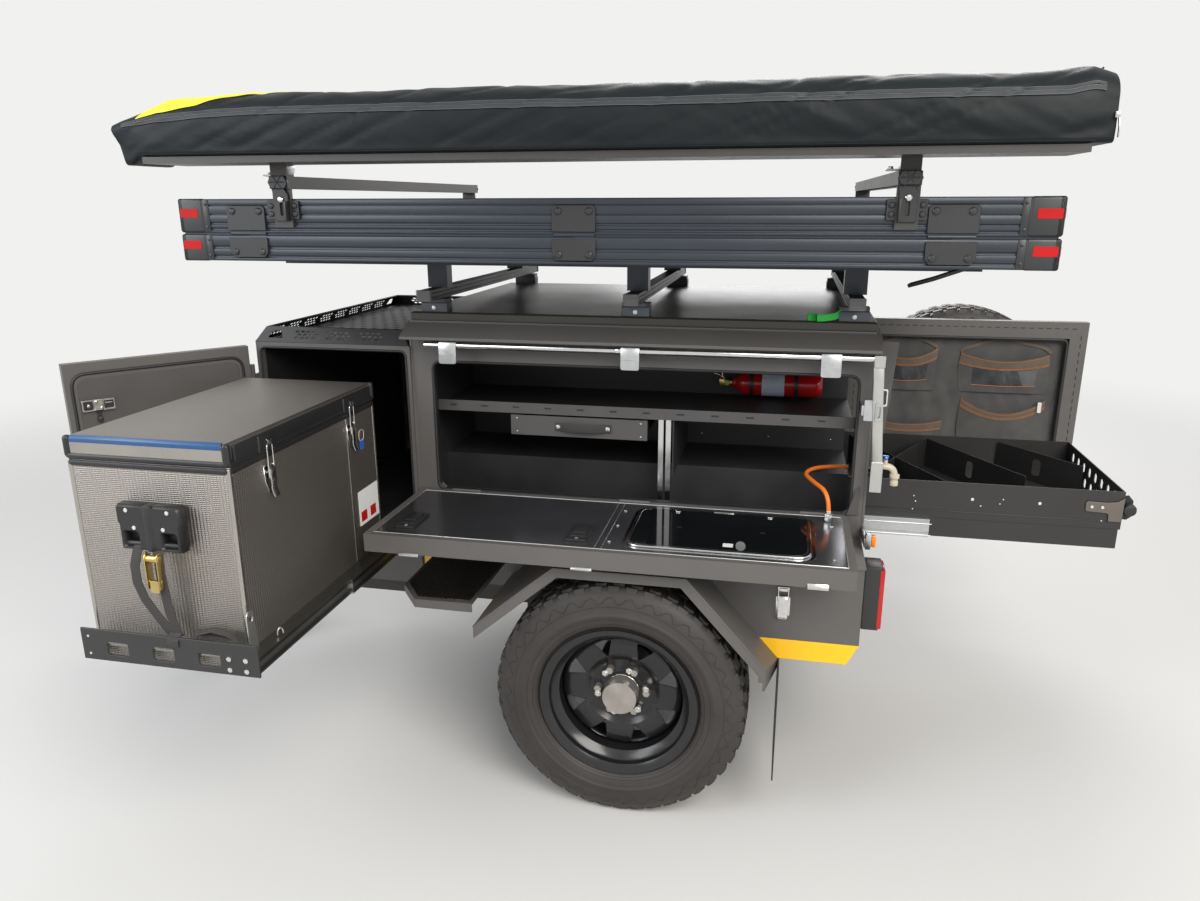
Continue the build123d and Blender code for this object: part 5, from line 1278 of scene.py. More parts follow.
label = pressed("fridge_label", rectangle(-0.752, -0.632, 0.79, 0.892, 0.003), thick=0.001, edge=0.0003,
                x=FRIDGE_X1 + 0.0008)
label_white = finish_of("label_white", (0.75, 0.75, 0.73), 0.45, grain=90, vary=0.06, patch=40)
dress(label, "fridge", label_white, "stainless")
reds = [
    pressed("red", rectangle(y, y + 0.034, 0.8, 0.83, 0.002), thick=0.001, edge=0.0002, x=FRIDGE_X1 + 0.0016)
    for y in (-0.742, -0.686)
]
dress(joined("fridge_label_marks", reds), "fridge", red_gloss, "red_paint")

# Fridge lid.
# Dimpled top in a black rim with round corner caps; the front band is plain steel with a strip of blue
# film along its top edge.
top = pressed("lid_top", rectangle(-1.163, -0.762, -1.309, -0.622, 0.01), thick=0.05, edge=0.006, z=1.1585)
dress(top, "fridge_lid", dimpled, "stainless", "fridge_lid")
rim = pressed("lid_rim", rectangle(-1.17, -0.755, -1.315, -0.615, 0.016), thick=0.013, edge=0.003, z=1.138)
rim_parts = [rim]
for x in (-1.1615, -0.7635):
    for y in (-1.3065, -0.6235):
        rim_parts.append(
            block("cap", at(x - 0.0085, y - 0.0085, 1.134), at(x + 0.0085, y + 0.0085, 1.1845), 0.0075, 5),
        )
rim_parts.append(block("side", at(-0.7635, -1.29, 1.136), at(-0.7555, -0.64, 1.176), 0.003, 3))
for y in (-1.165, -0.765):
    rim_parts.append(block("lug", at(-0.765, y - 0.038, 1.134), at(-0.752, y + 0.038, 1.1745), 0.004, 3))
dress(joined("lid_rim", rim_parts), "fridge_lid", lid_plastic, "black_plastic")
band = pressed("lid_band", rectangle(-1.153, -0.772, 1.1415, 1.179, 0.002), thick=0.002, edge=0.0006, y=-1.31)
dress(band, "fridge_lid", brushed, "stainless")
film = strap(
    "lid_film", end_line(-0.9625, [(-1.3118, 1.17), (-1.311, 1.179), (-1.306, 1.1842), (-1.3, 1.1846)]),
    0.379, 0.0012, LENGTHWISE,
)
dress(film, "fridge_lid", blue_film, "stainless")
for number, y in enumerate((-1.165, -0.765)):
    x = FRIDGE_X1
    shield = [(y - 0.022, 1.098), (y - 0.019, 1.06), (y - 0.008, 1.03), (y + 0.008, 1.03), (y + 0.019, 1.06),
              (y + 0.022, 1.098)]
    plate = pressed("plate", shield, thick=0.0024, edge=0.0006, x=x + 0.0012)
    bend = [(x + 0.006, 1.1), (x + 0.0105, 1.086), (x + 0.012, 1.062), (x + 0.011, 1.04), (x + 0.017, 1.022)]
    lever = strap("lever", side_line(y, bend), 0.022, 0.0026, CROSSWISE)
    pin = round_bar("pin", at(x + 0.006, y, 1.084), 0.003, 0.036, CROSSWISE, 0.0008, 12)
    bail_line = end_line(x + 0.0085, rectangle(y - 0.011, y + 0.011, 1.066, 1.148, 0.008))
    bail = closed_line("bail", bail_line, 0.0017)
    dress(joined(f"fridge_latch_{number}", [plate, lever, pin, bail]), "fridge", bright_metal, "galvanised")
    hook = strap(
        f"lid_hook_{number}",
        side_line(y, [(x + 0.006, 1.162), (x + 0.0105, 1.158), (x + 0.0115, 1.15), (x + 0.008, 1.1515)]),
        0.018, 0.002, CROSSWISE,
    )
    dress(hook, "fridge_lid", bright_metal, "galvanised")
tag = pressed(
    "fridge_tag", rectangle(-0.725, -0.7, 1.01, 1.04, 0.002), thick=0.001, edge=0.0002, x=FRIDGE_X1 + 0.004,
)
dress(tag, "fridge", blue, "black_plastic")
tag_loop = closed_line(
    "fridge_tag_loop", end_line(FRIDGE_X1 + 0.0045, rectangle(-0.727, -0.699, 1.036, 1.066, 0.012)), 0.0011,
)
dress(tag_loop, "fridge", cream, "black_plastic")
lobes = [
    (-1.03, 0.936), (-0.877, 0.936), (-0.877, 0.995), (-0.873, 1.0), (-0.873, 1.034), (-0.88, 1.043),
    (-0.938, 1.043), (-0.942, 1.04), (-0.965, 1.04), (-0.969, 1.043), (-1.027, 1.043), (-1.034, 1.034),
    (-1.034, 1.0), (-1.03, 0.995),
]
recess = [rectangle(-1.018, -0.984, 0.944, 0.978, 0.005), rectangle(-0.923, -0.889, 0.944, 0.978, 0.005)]
shell = pressed("handle", lobes, recess, thick=0.03, edge=0.005, y=-1.328)
back = pressed("handle_back", rectangle(-1.028, -0.879, 0.938, 1.04, 0.008), thick=0.01, edge=0.002, y=-1.316)
rib = block("rib", at(-0.966, -1.3435, 0.934), at(-0.941, -1.313, 1.042), 0.003)
bar = round_bar("bar", at(-0.9535, -1.333, 0.95), 0.006, 0.146, LENGTHWISE, 0.001, 20)
dress(
    joined("handle_shell", [shell, back, rib, bar]), "fridge", lid_plastic, "black_plastic", "fridge_handle",
)
studs = [
    round_bar("stud", at(x, -1.3432, z), 0.0048, 0.003, CROSSWISE, 0.0012, 16)
    for x, z in ((-1.005, 1.03), (-0.902, 1.03), (-0.99, 0.99), (-0.917, 0.99))
]
dress(joined("handle_studs", studs), "fridge", cut_edge, "stainless")

# Slide, face plate and tie-down strap of the fridge.
# The fridge stands on a full-extension slide; a black plate closes its front end, and a webbing strap with a
# brass ratchet ties the handle down to the plate.
windows = [
    [(x + dx, 0.686 + dz) for dx, dz in rectangle(-0.0275, 0.0275, -0.0165, 0.0165, 0.0065)]
    for x in (-1.076, -0.956, -0.838)
]
front = pressed(
    "slide_face_plate", rectangle(-1.1706, -0.7134, 0.6534, 0.7326, 0.002), windows, thick=0.0054, edge=0.001,
    y=-1.35,
)
dress(front, "fridge", black_coat, "black_steel")
liner = pressed(
    "slide_end_wall", rectangle(-1.146, -0.732, 0.657, 0.6915, 0.002), thick=0.002, edge=0.0005, y=-1.33,
)
dress(liner, "fridge", dimpled, "stainless")
studs = [
    round_bar("stud", at(x, -1.3538, z), 0.0062, 0.003, CROSSWISE, 0.0012, 16)
    for x in (-0.745, -0.787)
    for z in (0.667, 0.694)
]
studs += [
    round_bar("stud", at(-1.15, -1.3534, z), 0.0035, 0.002, CROSSWISE, 0.0008, 12) for z in (0.67, 0.714)
]
dress(joined("plate_studs", studs), "fridge", bright_metal, "galvanised")
tab = pressed(
    "tray_tab",
    [(0.0, 0.69), (0.034, 0.69), (0.034, 0.72), (0.028, 0.79), (0.022, 0.8), (0.006, 0.8), (0.0, 0.79)],
    [rectangle(0.01, 0.022, 0.774, 0.786, 0.005)], origin=at(-0.745, -1.335, 0),
    right=CROSSWISE,
)
dress(tab, "fridge", aluminium, "galvanised")
hanging = [
    at(-0.988, -1.3345, 0.95), at(-0.99, -1.344, 0.936), at(-0.999, -1.348, 0.9), at(-0.998, -1.349, 0.86),
    at(-0.985, -1.348, 0.82), at(-0.962, -1.345, 0.78), at(-0.94, -1.342, 0.745), at(-0.93, -1.34, 0.73),
]
left_web = strap("tie_left", hanging, 0.024, 0.0025, (1, 0, 0.15))
right_way = [
    at(-0.935, -1.3345, 0.95), at(-0.936, -1.346, 0.93), at(-0.934, -1.35, 0.89), at(-0.932, -1.348, 0.845),
    at(-0.93, -1.345, 0.795), at(-0.922, -1.342, 0.75), at(-0.915, -1.34, 0.73),
]
right_web = strap("tie_right", right_way, 0.024, 0.0025, (1, 0, -0.1))
over_way = [at(-0.924, -1.3395, 0.742), at(-0.925, -1.344, 0.735), at(-0.926, -1.3545, 0.726),
            at(-0.926, -1.3545, 0.71)]
over = strap("tie_over", over_way, 0.03, 0.0025, LENGTHWISE)
loop_points = [
    at(-0.87, -1.336, 0.733), at(-0.86, -1.338, 0.745), at(-0.83, -1.34, 0.756), at(-0.795, -1.338, 0.75),
    at(-0.78, -1.334, 0.739), at(-0.8, -1.332, 0.736), at(-0.845, -1.332, 0.738), at(-0.88, -1.334, 0.742),
]
loose = strap("tie_loose", loop_points, 0.017, 0.0022, (0, 1, 0.4))
dress(joined("tie_down", [left_web, right_web, over, loose]), "fridge", webbing, "black_plastic")
cheek = [(-0.01, 0.856), (0.006, 0.85), (0.012, 0.875), (0.01, 0.932), (0.0, 0.942), (-0.01, 0.932)]
cheeks = []
for x in (-0.958, -0.928):
    cheeks.append(pressed("cheek", cheek, thick=0.0022, edge=0.0006, origin=at(x, -1.356, 0),
                          right=CROSSWISE))
cheeks.append(round_bar("spool", at(-0.943, -1.356, 0.925), 0.0085, 0.036, LENGTHWISE, 0.0015, 20))
cheeks.append(round_bar("pawl", at(-0.943, -1.356, 0.87), 0.0045, 0.034, LENGTHWISE, 0.001, 16))
cheeks.append(block("grip", at(-0.955, -1.364, 0.845), at(-0.931, -1.356, 0.875), 0.003))
dress(joined("ratchet", cheeks), "fridge", brass, "galvanised")
clip_points = [
    at(-0.736, -1.237, 0.7), at(-0.732, -1.244, 0.712), at(-0.728, -1.24, 0.722), at(-0.726, -1.23, 0.716),
    at(-0.728, -1.226, 0.702),
]
wire = thickened(run("slide_clip", clip_points), 0.0018, 3)
dress(wire, "fridge", cut_edge, "galvanised")

# Rear door.
# A folded side-hung door: its inner frame carries a dashed row of slots along its top and sides, a black seal
# lies inside them, and two strap hinges hold it at the box's rear corner.
DOOR_X0, DOOR_X1, DOOR_Z0, DOOR_Z1, DOOR_FACE = 0.646, 1.468, 0.6, 1.256, 0.55
cover(charcoal, "rear_door")
slots = []
x = DOOR_X0 + 0.07
while x < DOOR_X1 - 0.04:
    slots.append(rectangle(x, x + 0.0165, 1.2305, 1.2338, 0.0012, 2))
    x += 0.029
z = DOOR_Z0 + 0.04
while z < 1.215:
    for x in (DOOR_X1 - 0.0225, DOOR_X0 + 0.0195):
        slots.append(rectangle(x - 0.0016, x + 0.0016, z, z + 0.0165, 0.0012, 2))
    z += 0.029
slots.append(rectangle(0.705, 1.409, 0.659, 1.197, 0.004))
door_plate = pressed(
    "door_frame", rectangle(DOOR_X0 + 0.002, DOOR_X1 - 0.002, DOOR_Z0 + 0.002, DOOR_Z1 - 0.002, 0.003), slots,
    thick=0.0016, edge=0.0004, y=DOOR_FACE - 0.0008,
)
dress(door_plate, "rear_door", charcoal, "charcoal")
dark = pressed(
    "door_slots", rectangle(DOOR_X0 + 0.01, DOOR_X1 - 0.01, DOOR_Z0 + 0.01, DOOR_Z1 - 0.01, 0.003),
    [slots[-1]], thick=0.0008, edge=0.0002, y=DOOR_FACE - 0.0002,
)
dress(dark, "rear_door", inner_black, "black_steel")
seal = closed_line("rear_door_seal", side_line(0.5535, rectangle(0.7105, 1.4035, 0.6645, 1.1915)), 0.0055)
dress(seal, "rear_door", seal_rubber, "rubber")
backing = pressed(
    "rear_door_backing", rectangle(0.707, 1.407, 0.661, 1.195, 0.003), thick=0.0016, edge=0.0004, y=0.585,
)
dress(backing, "rear_door", inner_black, "black_steel")
outer = pressed(
    "rear_door_skin", rectangle(DOOR_X0 + 0.05, DOOR_X1 - 0.05, DOOR_Z0 + 0.05, DOOR_Z1 - 0.05, 0.035),
    edge=0.001, y=0.587,
)
dress(outer, "rear_door", charcoal, "charcoal")
paddle = [pressed("paddle", rectangle(1.39, 1.425, 0.905, 1.015, 0.006), thick=0.006, edge=0.0015, y=0.589),
          pressed("paddle", rectangle(1.396, 1.419, 0.915, 0.985, 0.004), thick=0.01, edge=0.0015, y=0.593)]
dress(joined("rear_door_paddle", paddle), "rear_door", satin_black, "black_plastic")

# Organiser inside the rear door.
# A canvas panel with two columns of hanging pockets, narrow on the left and wide on the right: open mouths,
# grey-brown bindings stitched in orange, and clear film windows under the upper pair.
cloth_grey = blank("cloth_grey")
THREAD = 0.0016
weave = waves(cloth_grey, (("X", THREAD), ("Z", THREAD)), "SINE", "MULTIPLY")
patches = layer(cloth_grey, "TexNoise", "Fac", layer(cloth_grey, "TexCoord", "Object"), Scale=14, Detail=5)
tone = layer(cloth_grey, "Mix", "Result", data_type="RGBA", Factor=patches, A=(0.036, 0.036, 0.036, 1),
             B=(0.105, 0.104, 0.098, 1))
relief = layer(cloth_grey, "Bump", "Normal", Height=weave, Strength=0.5, Distance=0.0004)
coat(cloth_grey, Base_Color=tone, Roughness=0.85, Sheen_Weight=0.25, Normal=relief)
binding_tape = finish_of(
    "binding_tape", (0.115, 0.085, 0.062), 0.8, grain=1400, bump=0.4, depth=0.0003, vary=0.3, patch=30,
)
stitching = finish_of(
    "stitching", (0.36, 0.13, 0.035), 0.7, grain=1600, bump=0.6, depth=0.0003, vary=0.3, patch=200,
)
clear_film = finish_of(
    "clear_film", (0.055, 0.058, 0.062), 0.09, grain=35, bump=0.5, depth=0.003, vary=0.7, patch=16,
)
coat(clear_film, Coat_Weight=0.7)


def sheet_of(name, across, up, place, thick=0.0012):
    """A cloth sheet: place(u, v) gives each point of a grid of across by up squares; it gets a thickness."""
    made = bmesh.new()
    rows = [[made.verts.new(place(i / across, j / up)) for i in range(across + 1)] for j in range(up + 1)]
    for low, high in zip(rows, rows[1:]):
        for i in range(across):
            made.faces.new((low[i], low[i + 1], high[i + 1], high[i]))
    piece = built(name, made, outwards=False)
    skin = piece.modifiers.new("skin", "SOLIDIFY")
    skin.thickness = thick
    skin.offset = 0
    bpy.ops.object.modifier_apply(modifier="skin")
    smoothed(60)
    return piece


CANVAS_X0, CANVAS_LONG, CANVAS_Z0, CANVAS_TALL = 0.7195, 0.672, 0.716, 0.474


def organiser_point(u, v):
    """The canvas panel behind the pockets, with its rippled face and wavy edges."""
    x = CANVAS_X0 + CANVAS_LONG * u
    z = CANVAS_Z0 + CANVAS_TALL * v
    x += 0.004 * math.sin(z * 46) * (u - 0.5) * 2
    z += 0.005 * math.sin(x * 38 + 0.6) * (v - 0.5) * 2
    ripple = 0.0012 * math.sin(x * 90 + 2 * math.sin(z * 20))
    y = 0.5805 - 0.0025 * noise.noise(Vector((x * 9, z * 5, 0.3))) - ripple
    return at(x, y, z)


canvas_panel = sheet_of("organiser_panel", 110, 76, organiser_point)
dress(canvas_panel, "rear_door", cloth_grey, "canvas", "door_pockets")
pockets = [
    # name, left, right, bottom, rim at its sides, rim in its middle, how far it stands out, has a window
    ("upper_narrow", 0.742, 0.962, 0.982, 1.15, 1.108, 0.023, True),
    ("lower_narrow", 0.742, 1.0, 0.735, 0.868, 0.85, 0.012, False),
    ("upper_wide", 1.046, 1.358, 0.984, 1.134, 1.106, 0.023, True),
    ("lower_wide", 1.062, 1.362, 0.735, 0.962, 0.908, 0.024, False),
]
pocket_parts, binding_parts, stitch_parts, window_parts = [], [], [], []
for name, left, right, bottom, side_rim, middle_rim, depth, windowed in pockets:
    seed = left * 7 + bottom

    def front(u, v, lift=0.0):
        """A point of the pocket's front, v from its bottom to its rim; lift moves it off the cloth."""
        bow = math.sin(math.pi * min(max(u, 0), 1)) ** 0.8
        rim = side_rim + (middle_rim - side_rim) * bow
        z = bottom + (rim - bottom) * v
        out = depth * bow * (0.3 + 0.7 * v) + 0.0015
        out -= 0.0022 * (0.5 + 0.5 * math.sin(u * 21 + seed * 3 + v * 4)) * bow * (1 - 0.5 * v)
        x = left + (right - left) * (u + 0.012 * math.sin(v * 5 + seed) * (1 - 2 * u))
        return at(x, 0.5785 - out - lift, z)

    pocket_parts.append(sheet_of("pocket_" + name, 48, 32, front))
    tall = side_rim - bottom
    share = 1 - 0.044 / tall if windowed else 1 - 0.036 / tall
    tape = sheet_of(
        "binding_" + name, 48, 8, lambda u, v: front(u, share + (1.004 - share) * v, 0.0012), 0.0016,
    )
    binding_parts.append(tape)
    for level in (share + 0.012, share + 0.04, 0.965):
        stitch_parts.append(
            thickened(run("stitch", [front(i / 30, level, 0.0022) for i in range(31)]), 0.0011, 1),
        )
    if windowed:
        high = share - 0.02
        low = high - 0.07 / tall
        window_parts.append(
            sheet_of(
                "window_" + name, 40, 14, lambda u, v: front(0.16 + 0.7 * u, low + (high - low) * v, 0.001),
                0.0008,
            ),
        )
        edge = [front(0.15 + 0.72 * i / 24, low - 0.01, 0.0018) for i in range(25)]
        stitch_parts.append(thickened(run("stitch", edge), 0.0018, 1))
for x0, x1, z0, z1 in ((0.742, 0.962, 1.15, 1.186), (1.046, 1.358, 1.134, 1.184)):
    peak = []
    for i in range(25):
        x = x0 + (x1 - x0) * i / 24
        z = z0 + (z1 - z0) * math.sin(math.pi * i / 24) ** 0.7
        place = organiser_point((x - CANVAS_X0) / CANVAS_LONG, (z - CANVAS_Z0) / CANVAS_TALL)
        peak.append(place - Vector((0, 0.0026, 0)))
    binding_parts.append(strap("mouth_tape", peak, 0.012, 0.0016, (0, 0.2, 1)))
pocket_sheet = joined("organiser_pockets", pocket_parts)
dress(pocket_sheet, "rear_door", cloth_grey, "canvas")
binding_sheet = joined("organiser_bindings", binding_parts)
dress(binding_sheet, "rear_door", binding_tape, "canvas")
stitches = joined("organiser_stitches", stitch_parts)
dress(stitches, "rear_door", stitching, "canvas")
windows = joined("organiser_windows", window_parts)
dress(windows, "rear_door", clear_film, "glass_black")
white_tag = pressed(
    "organiser_tag", rectangle(1.333, 1.347, 0.915, 0.955, 0.003), thick=0.0012, edge=0.0004, y=0.56,
)
dress(white_tag, "rear_door", cut_edge, "stainless")

# Rear drawer and its rails.
# A long black sheet drawer with leaning dividers, bright rivets along its side, a latch plate with a rubber
# roller at the near corner, and galvanised telescopic rails under it.
cover(black_coat, "rear_drawer")
cover(zinc, "drawer_rails_middle")
DRAWER_X0, DRAWER_X1, DRAWER_HALF = 0.573, 1.373, 0.278
rivets = [
    round_bar("rivet", at(x, -DRAWER_HALF - 0.0012, 0.831), 0.0048, 0.003, CROSSWISE, 0.0012, 16)
    for x in (0.965, 1.15)
]
rivets += [
    round_bar("rivet", at(x, -DRAWER_HALF - 0.001, z), 0.0022, 0.002, CROSSWISE, 0.0008, 10)
    for x, z in (
        (0.8, 0.832), (0.806, 0.815), (0.99, 0.812), (1.05, 0.836), (1.042, 0.822), (0.8, 0.79), (1.32, 0.79)
    )
]
dress(joined("drawer_rivets", rivets), "rear_drawer", cut_edge, "galvanised")
fold = round_bar(
    "drawer_fold", at((DRAWER_X0 + DRAWER_X1) / 2, -DRAWER_HALF - 0.0004, 0.789), 0.0016, 0.798, LENGTHWISE,
    0.0003, 10,
)
dress(fold, "rear_drawer", black_coat, "black_steel")
dividers = []
for start, stop in (
    ((0.64, 0.268), (0.905, -0.268)), ((0.905, 0.268), (1.14, -0.15)), ((0.905, 0.268), (0.64, -0.268)),
    ((1.14, 0.268), (1.345, 0.0))
):
    a, b = at(*start, 0), at(*stop, 0)
    long = (b - a).length
    dividers.append(pressed("divider", rectangle(0.004, long - 0.004, 0.77, 0.872, 0.004),
                            [rectangle(long * 0.45, long * 0.45 + 0.03, 0.795, 0.85, 0.012)],
                            thick=0.002, edge=0.0005, origin=a, right=b - a))
dress(joined("drawer_dividers", dividers), "rear_drawer", black_coat, "black_steel")
grey_brown = finish_of("grey_brown", (0.135, 0.115, 0.098), 0.5, metal=0.3, grain=500, bump=0.15, vary=0.2)
plate_line = [(1.272, 0.822), (1.276, 0.817), (1.328, 0.815), (1.334, 0.812), (1.336, 0.79), (1.372, 0.79),
              (1.372, 0.862), (1.356, 0.85), (1.33, 0.846), (1.276, 0.848), (1.272, 0.843)]
plate = pressed("drawer_plate", plate_line, thick=0.004, edge=0.001, y=-DRAWER_HALF - 0.0032)
dress(plate, "rear_drawer", grey_brown, "charcoal")
roller = round_bar("drawer_roller", at(1.3905, -0.274, 0.826), 0.018, 0.022, CROSSWISE, 0.006, 28)
cheek = pressed(
    "cheek", [(1.366, 0.794), (1.39, 0.792), (1.402, 0.802), (1.402, 0.85), (1.388, 0.866), (1.366, 0.862)],
    thick=0.004, edge=0.001, y=-0.261,
)
dress(roller, "rear_drawer", seal_rubber, "rubber")
dress(cheek, "rear_drawer", seal_rubber, "rubber")
studs = [
    round_bar("stud", at(x, -DRAWER_HALF - 0.0062, 0.832), 0.0045, 0.003, CROSSWISE, 0.0012, 16)
    for x in (1.288, 1.316)
]
studs.append(round_bar("stud", at(1.4085, -0.274, 0.826), 0.0045, 0.004, LENGTHWISE, 0.0012, 16))
dress(joined("drawer_studs_rear", studs), "rear_drawer", cut_edge, "galvanised")
ridges = []
for out in (-1, 1):
    for z in (0.718, 0.754):
        ridges.append(round_bar("ridge", at(0.655, out * 0.3062, z), 0.0018, 0.398, LENGTHWISE, 0.0004, 10))
dress(joined("rail_ridges", ridges), "drawer_slide_middle", zinc, "galvanised")

# Roof bars and their feet.
# Three aluminium bars stand on grey blocks bolted to the roof; each foot has one screw, and each bar ends in
# a ribbed moulded cap. A loop of green strap hangs from the right one.
bar_grey = finish_of(
    "bar_grey", (0.042, 0.039, 0.036), 0.42, metal=0.2, grain=350, bump=0.1, vary=0.2, patch=10,
)
foot_grey = finish_of("foot_grey", (0.062, 0.072, 0.084), 0.5, grain=500, bump=0.12, vary=0.15)
cap_grey = finish_of("cap_grey", (0.17, 0.17, 0.165), 0.5, grain=400, bump=0.15, vary=0.15)
cover(bar_grey, "roof_bars")
BAR_XS, BAR_HALF = (-0.61, -0.015, 0.575), 0.56
caps, feet, screws, lines = [], [], [], []
for x in BAR_XS:
    for out in (-1, 1):
        rib_y, cap_y = out * (BAR_HALF - 0.002), out * (BAR_HALF - 0.004)
        for k in range(9):
            z = 1.4115 + k * 0.0034
            caps.append(block("rib", at(x - 0.0215, rib_y - 0.006, z),
                              at(x + 0.0215, rib_y + 0.006, z + 0.0022), 0.0007, 1))
        caps.append(block("cap", at(x - 0.0205, cap_y - 0.006, 1.4095),
                          at(x + 0.0205, cap_y + 0.006, 1.4415), 0.003))
        inner, outer = sorted((out * 0.4415, out * 0.4875))
        feet.append(block("foot", at(x - 0.04, inner, 1.3725), at(x + 0.04, outer, 1.399), 0.003))
        feet.append(block("clamp", at(x - 0.03, inner + 0.004, 1.397),
                          at(x + 0.03, outer - 0.004, 1.411), 0.003))
        screws.append(round_bar("screw", at(x, out * 0.489, 1.385), 0.0062, 0.004, CROSSWISE, 0.0014, 16))
        for dx in (-0.026, 0.026):
            screws.append(round_bar("screw", at(x + dx, out * 0.464, 1.4), 0.005, 0.006, UPRIGHT, 0.001, 6))
    for dz in (1.419, 1.431):
        for dx in (-0.0192, 0.0192):
            lines.append(round_bar("line", at(x + dx, 0, dz), 0.0011, 1.08, CROSSWISE, 0.0002, 6))
dress(joined("bar_caps", caps), "chassis", cap_grey, "black_plastic")
dress(joined("bar_feet", feet), "chassis", foot_grey, "black_plastic")
dress(joined("bar_screws", screws), "chassis", zinc, "galvanised")
dress(joined("bar_lines", lines), "chassis", inner_black, "bar_aluminium")
green_web = finish_of("green_web", (0.02, 0.42, 0.05), 0.6, grain=900, bump=0.3, depth=0.0003, vary=0.15)
tail_way = [at(0.555, -0.47, 1.405), at(0.545, -0.48, 1.396), at(0.525, -0.486, 1.386),
            at(0.5, -0.488, 1.381), at(0.478, -0.488, 1.38)]
tail = strap("green_tail", tail_way, 0.018, 0.0024, UPRIGHT)
curl = []
for k in range(-8, 15):
    t = k * math.pi / 8
    curl.append(at(0.466 - 0.012 * math.cos(t), -0.478 + 0.01 * math.sin(t), 1.3815))
loop = strap("green_loop", curl, 0.018, 0.0024, UPRIGHT)
dress(joined("green_strap", [tail, loop]), "chassis", green_web, "canvas")

# Roof tent.
# A hard-shell tent folded shut: two ribbed aluminium frames, one over the other, with moulded corner caps and
# red reflectors, three bolted hinge plates on the near side, and two channels under its floor.
tent_blue = finish_of(
    "tent_blue", (0.03, 0.036, 0.045), 0.36, metal=0.35, grain=300, bump=0.06, vary=0.15, patch=6,
)
corner_black = finish_of("corner_black", (0.02, 0.021, 0.023), 0.38, grain=700, bump=0.12)
reflector = finish_of("reflector", (0.4, 0.01, 0.01), 0.42, grain=1500, bump=0.25, vary=0.1)
coat(reflector, Specular_IOR_Level=0.15)
cover(tent_blue, "tent_base", "tent_lid")
TENT_X0, TENT_X1, TENT_Y0, TENT_Y1 = -1.17, 0.965, -0.8, 0.6


def extruded(name, profile):
    """A frame of one profile mitred round the tent; the profile is a closed list of (outward, height)."""
    made = bmesh.new()
    rings = []
    for out, z in profile:
        x0, x1, y0, y1 = TENT_X0 - out, TENT_X1 + out, TENT_Y0 - out, TENT_Y1 + out
        rings.append(
            [made.verts.new(place) for place in top_line(z, [(x0, y0), (x1, y0), (x1, y1), (x0, y1)])],
        )
    bridged(made, rings + rings[:1])
    piece = built(name, made)
    eased(piece, 0.0006, 2)
    smoothed(40)
    return piece


lid_profile = [
    (-0.004, 1.606), (0.003, 1.606), (0.004, 1.608), (0.004, 1.611), (0.001, 1.613), (0.001, 1.6165),
    (0.0032, 1.6185), (0.0036, 1.625), (0.0012, 1.6275), (0.0012, 1.631), (0.004, 1.633), (0.0044, 1.649),
    (0.004, 1.65), (0.0006, 1.65), (0.0006, 1.6535), (0.0044, 1.6535), (0.0044, 1.672), (0.004, 1.6725),
    (0.0006, 1.6725), (0.0006, 1.6755), (0.0044, 1.6755), (0.0044, 1.688), (0.003, 1.6905), (-0.012, 1.6905),
]
base_profile = [
    (-0.012, 1.5345), (0.002, 1.5345), (0.0034, 1.5365), (0.0034, 1.542), (0.001, 1.544), (0.001, 1.5475),
    (0.0032, 1.5495), (0.0036, 1.564), (0.001, 1.566), (0.001, 1.571), (0.0036, 1.5735), (0.0044, 1.596),
    (0.004, 1.5975), (0.002, 1.6), (-0.004, 1.6025),
]
dress(extruded("tent_lid_frame", lid_profile), "tent_lid", tent_blue, "tent_profile")
dress(extruded("tent_base_frame", base_profile), "chassis", tent_blue, "tent_profile")
# A corner cap: how long and how deep its arms are, and how far it stands out.
CAP_LONG, CAP_DEEP, CAP_PROUD = 0.066, 0.012, 0.0072
for part, rides, z0, z1 in (("lid", "tent_lid", 1.6065, 1.6915), ("base", "chassis", 1.5335, 1.602)):
    corners, reds, studs = [], [], []
    mark = z0 + (z1 - z0) * 0.44
    for cx, sx in ((TENT_X0, -1), (TENT_X1, 1)):
        for cy, sy in ((TENT_Y0, -1), (TENT_Y1, 1)):
            tip = at(cx + sx * CAP_PROUD, cy + sy * CAP_PROUD, z0)
            for dx, dy in ((CAP_LONG, CAP_DEEP), (CAP_DEEP, CAP_LONG)):
                corners.append(block("corner", tip, at(cx - sx * dx, cy - sy * dy, z1), 0.006, 4))
            corners.append(block("collar", at(cx - sx * (CAP_LONG - 0.002), cy + sy * 0.006, z0 + 0.002),
                                 at(cx - sx * (CAP_LONG + 0.016), cy - sy * 0.01, z1 - 0.002), 0.003))
            beyond = {"y": cy + sy * (CAP_PROUD + 0.0004)}, {"x": cx + sx * (CAP_PROUD + 0.0004)}
            for corner, sign, where in ((cx, sx, beyond[0]), (cy, sy, beyond[1])):
                ends = sorted((corner + sign * 0.001, corner - sign * 0.05))
                bar = rectangle(*ends, mark, mark + 0.022, 0.001, 1)
                reds.append(pressed("red", bar, thick=0.0012, edge=0.0003, **where))
            for z in (z0 + 0.014, z1 - 0.014):
                stud = at(cx - sx * (CAP_LONG + 0.007), cy + sy * 0.0064, z)
                studs.append(round_bar("stud", stud, 0.004, 0.003, CROSSWISE, 0.001, 12))
    dress(joined(f"tent_{part}_corners", corners + studs), rides, corner_black, "black_plastic")
    dress(joined(f"tent_{part}_reflectors", reds), rides, reflector, "lamp_red")
hinge_bolt = [(0.0, 0.0055), (0.006, 0.005), (0.0085, 0.003), (0.009, 0.0), (0.0, 0.0)]
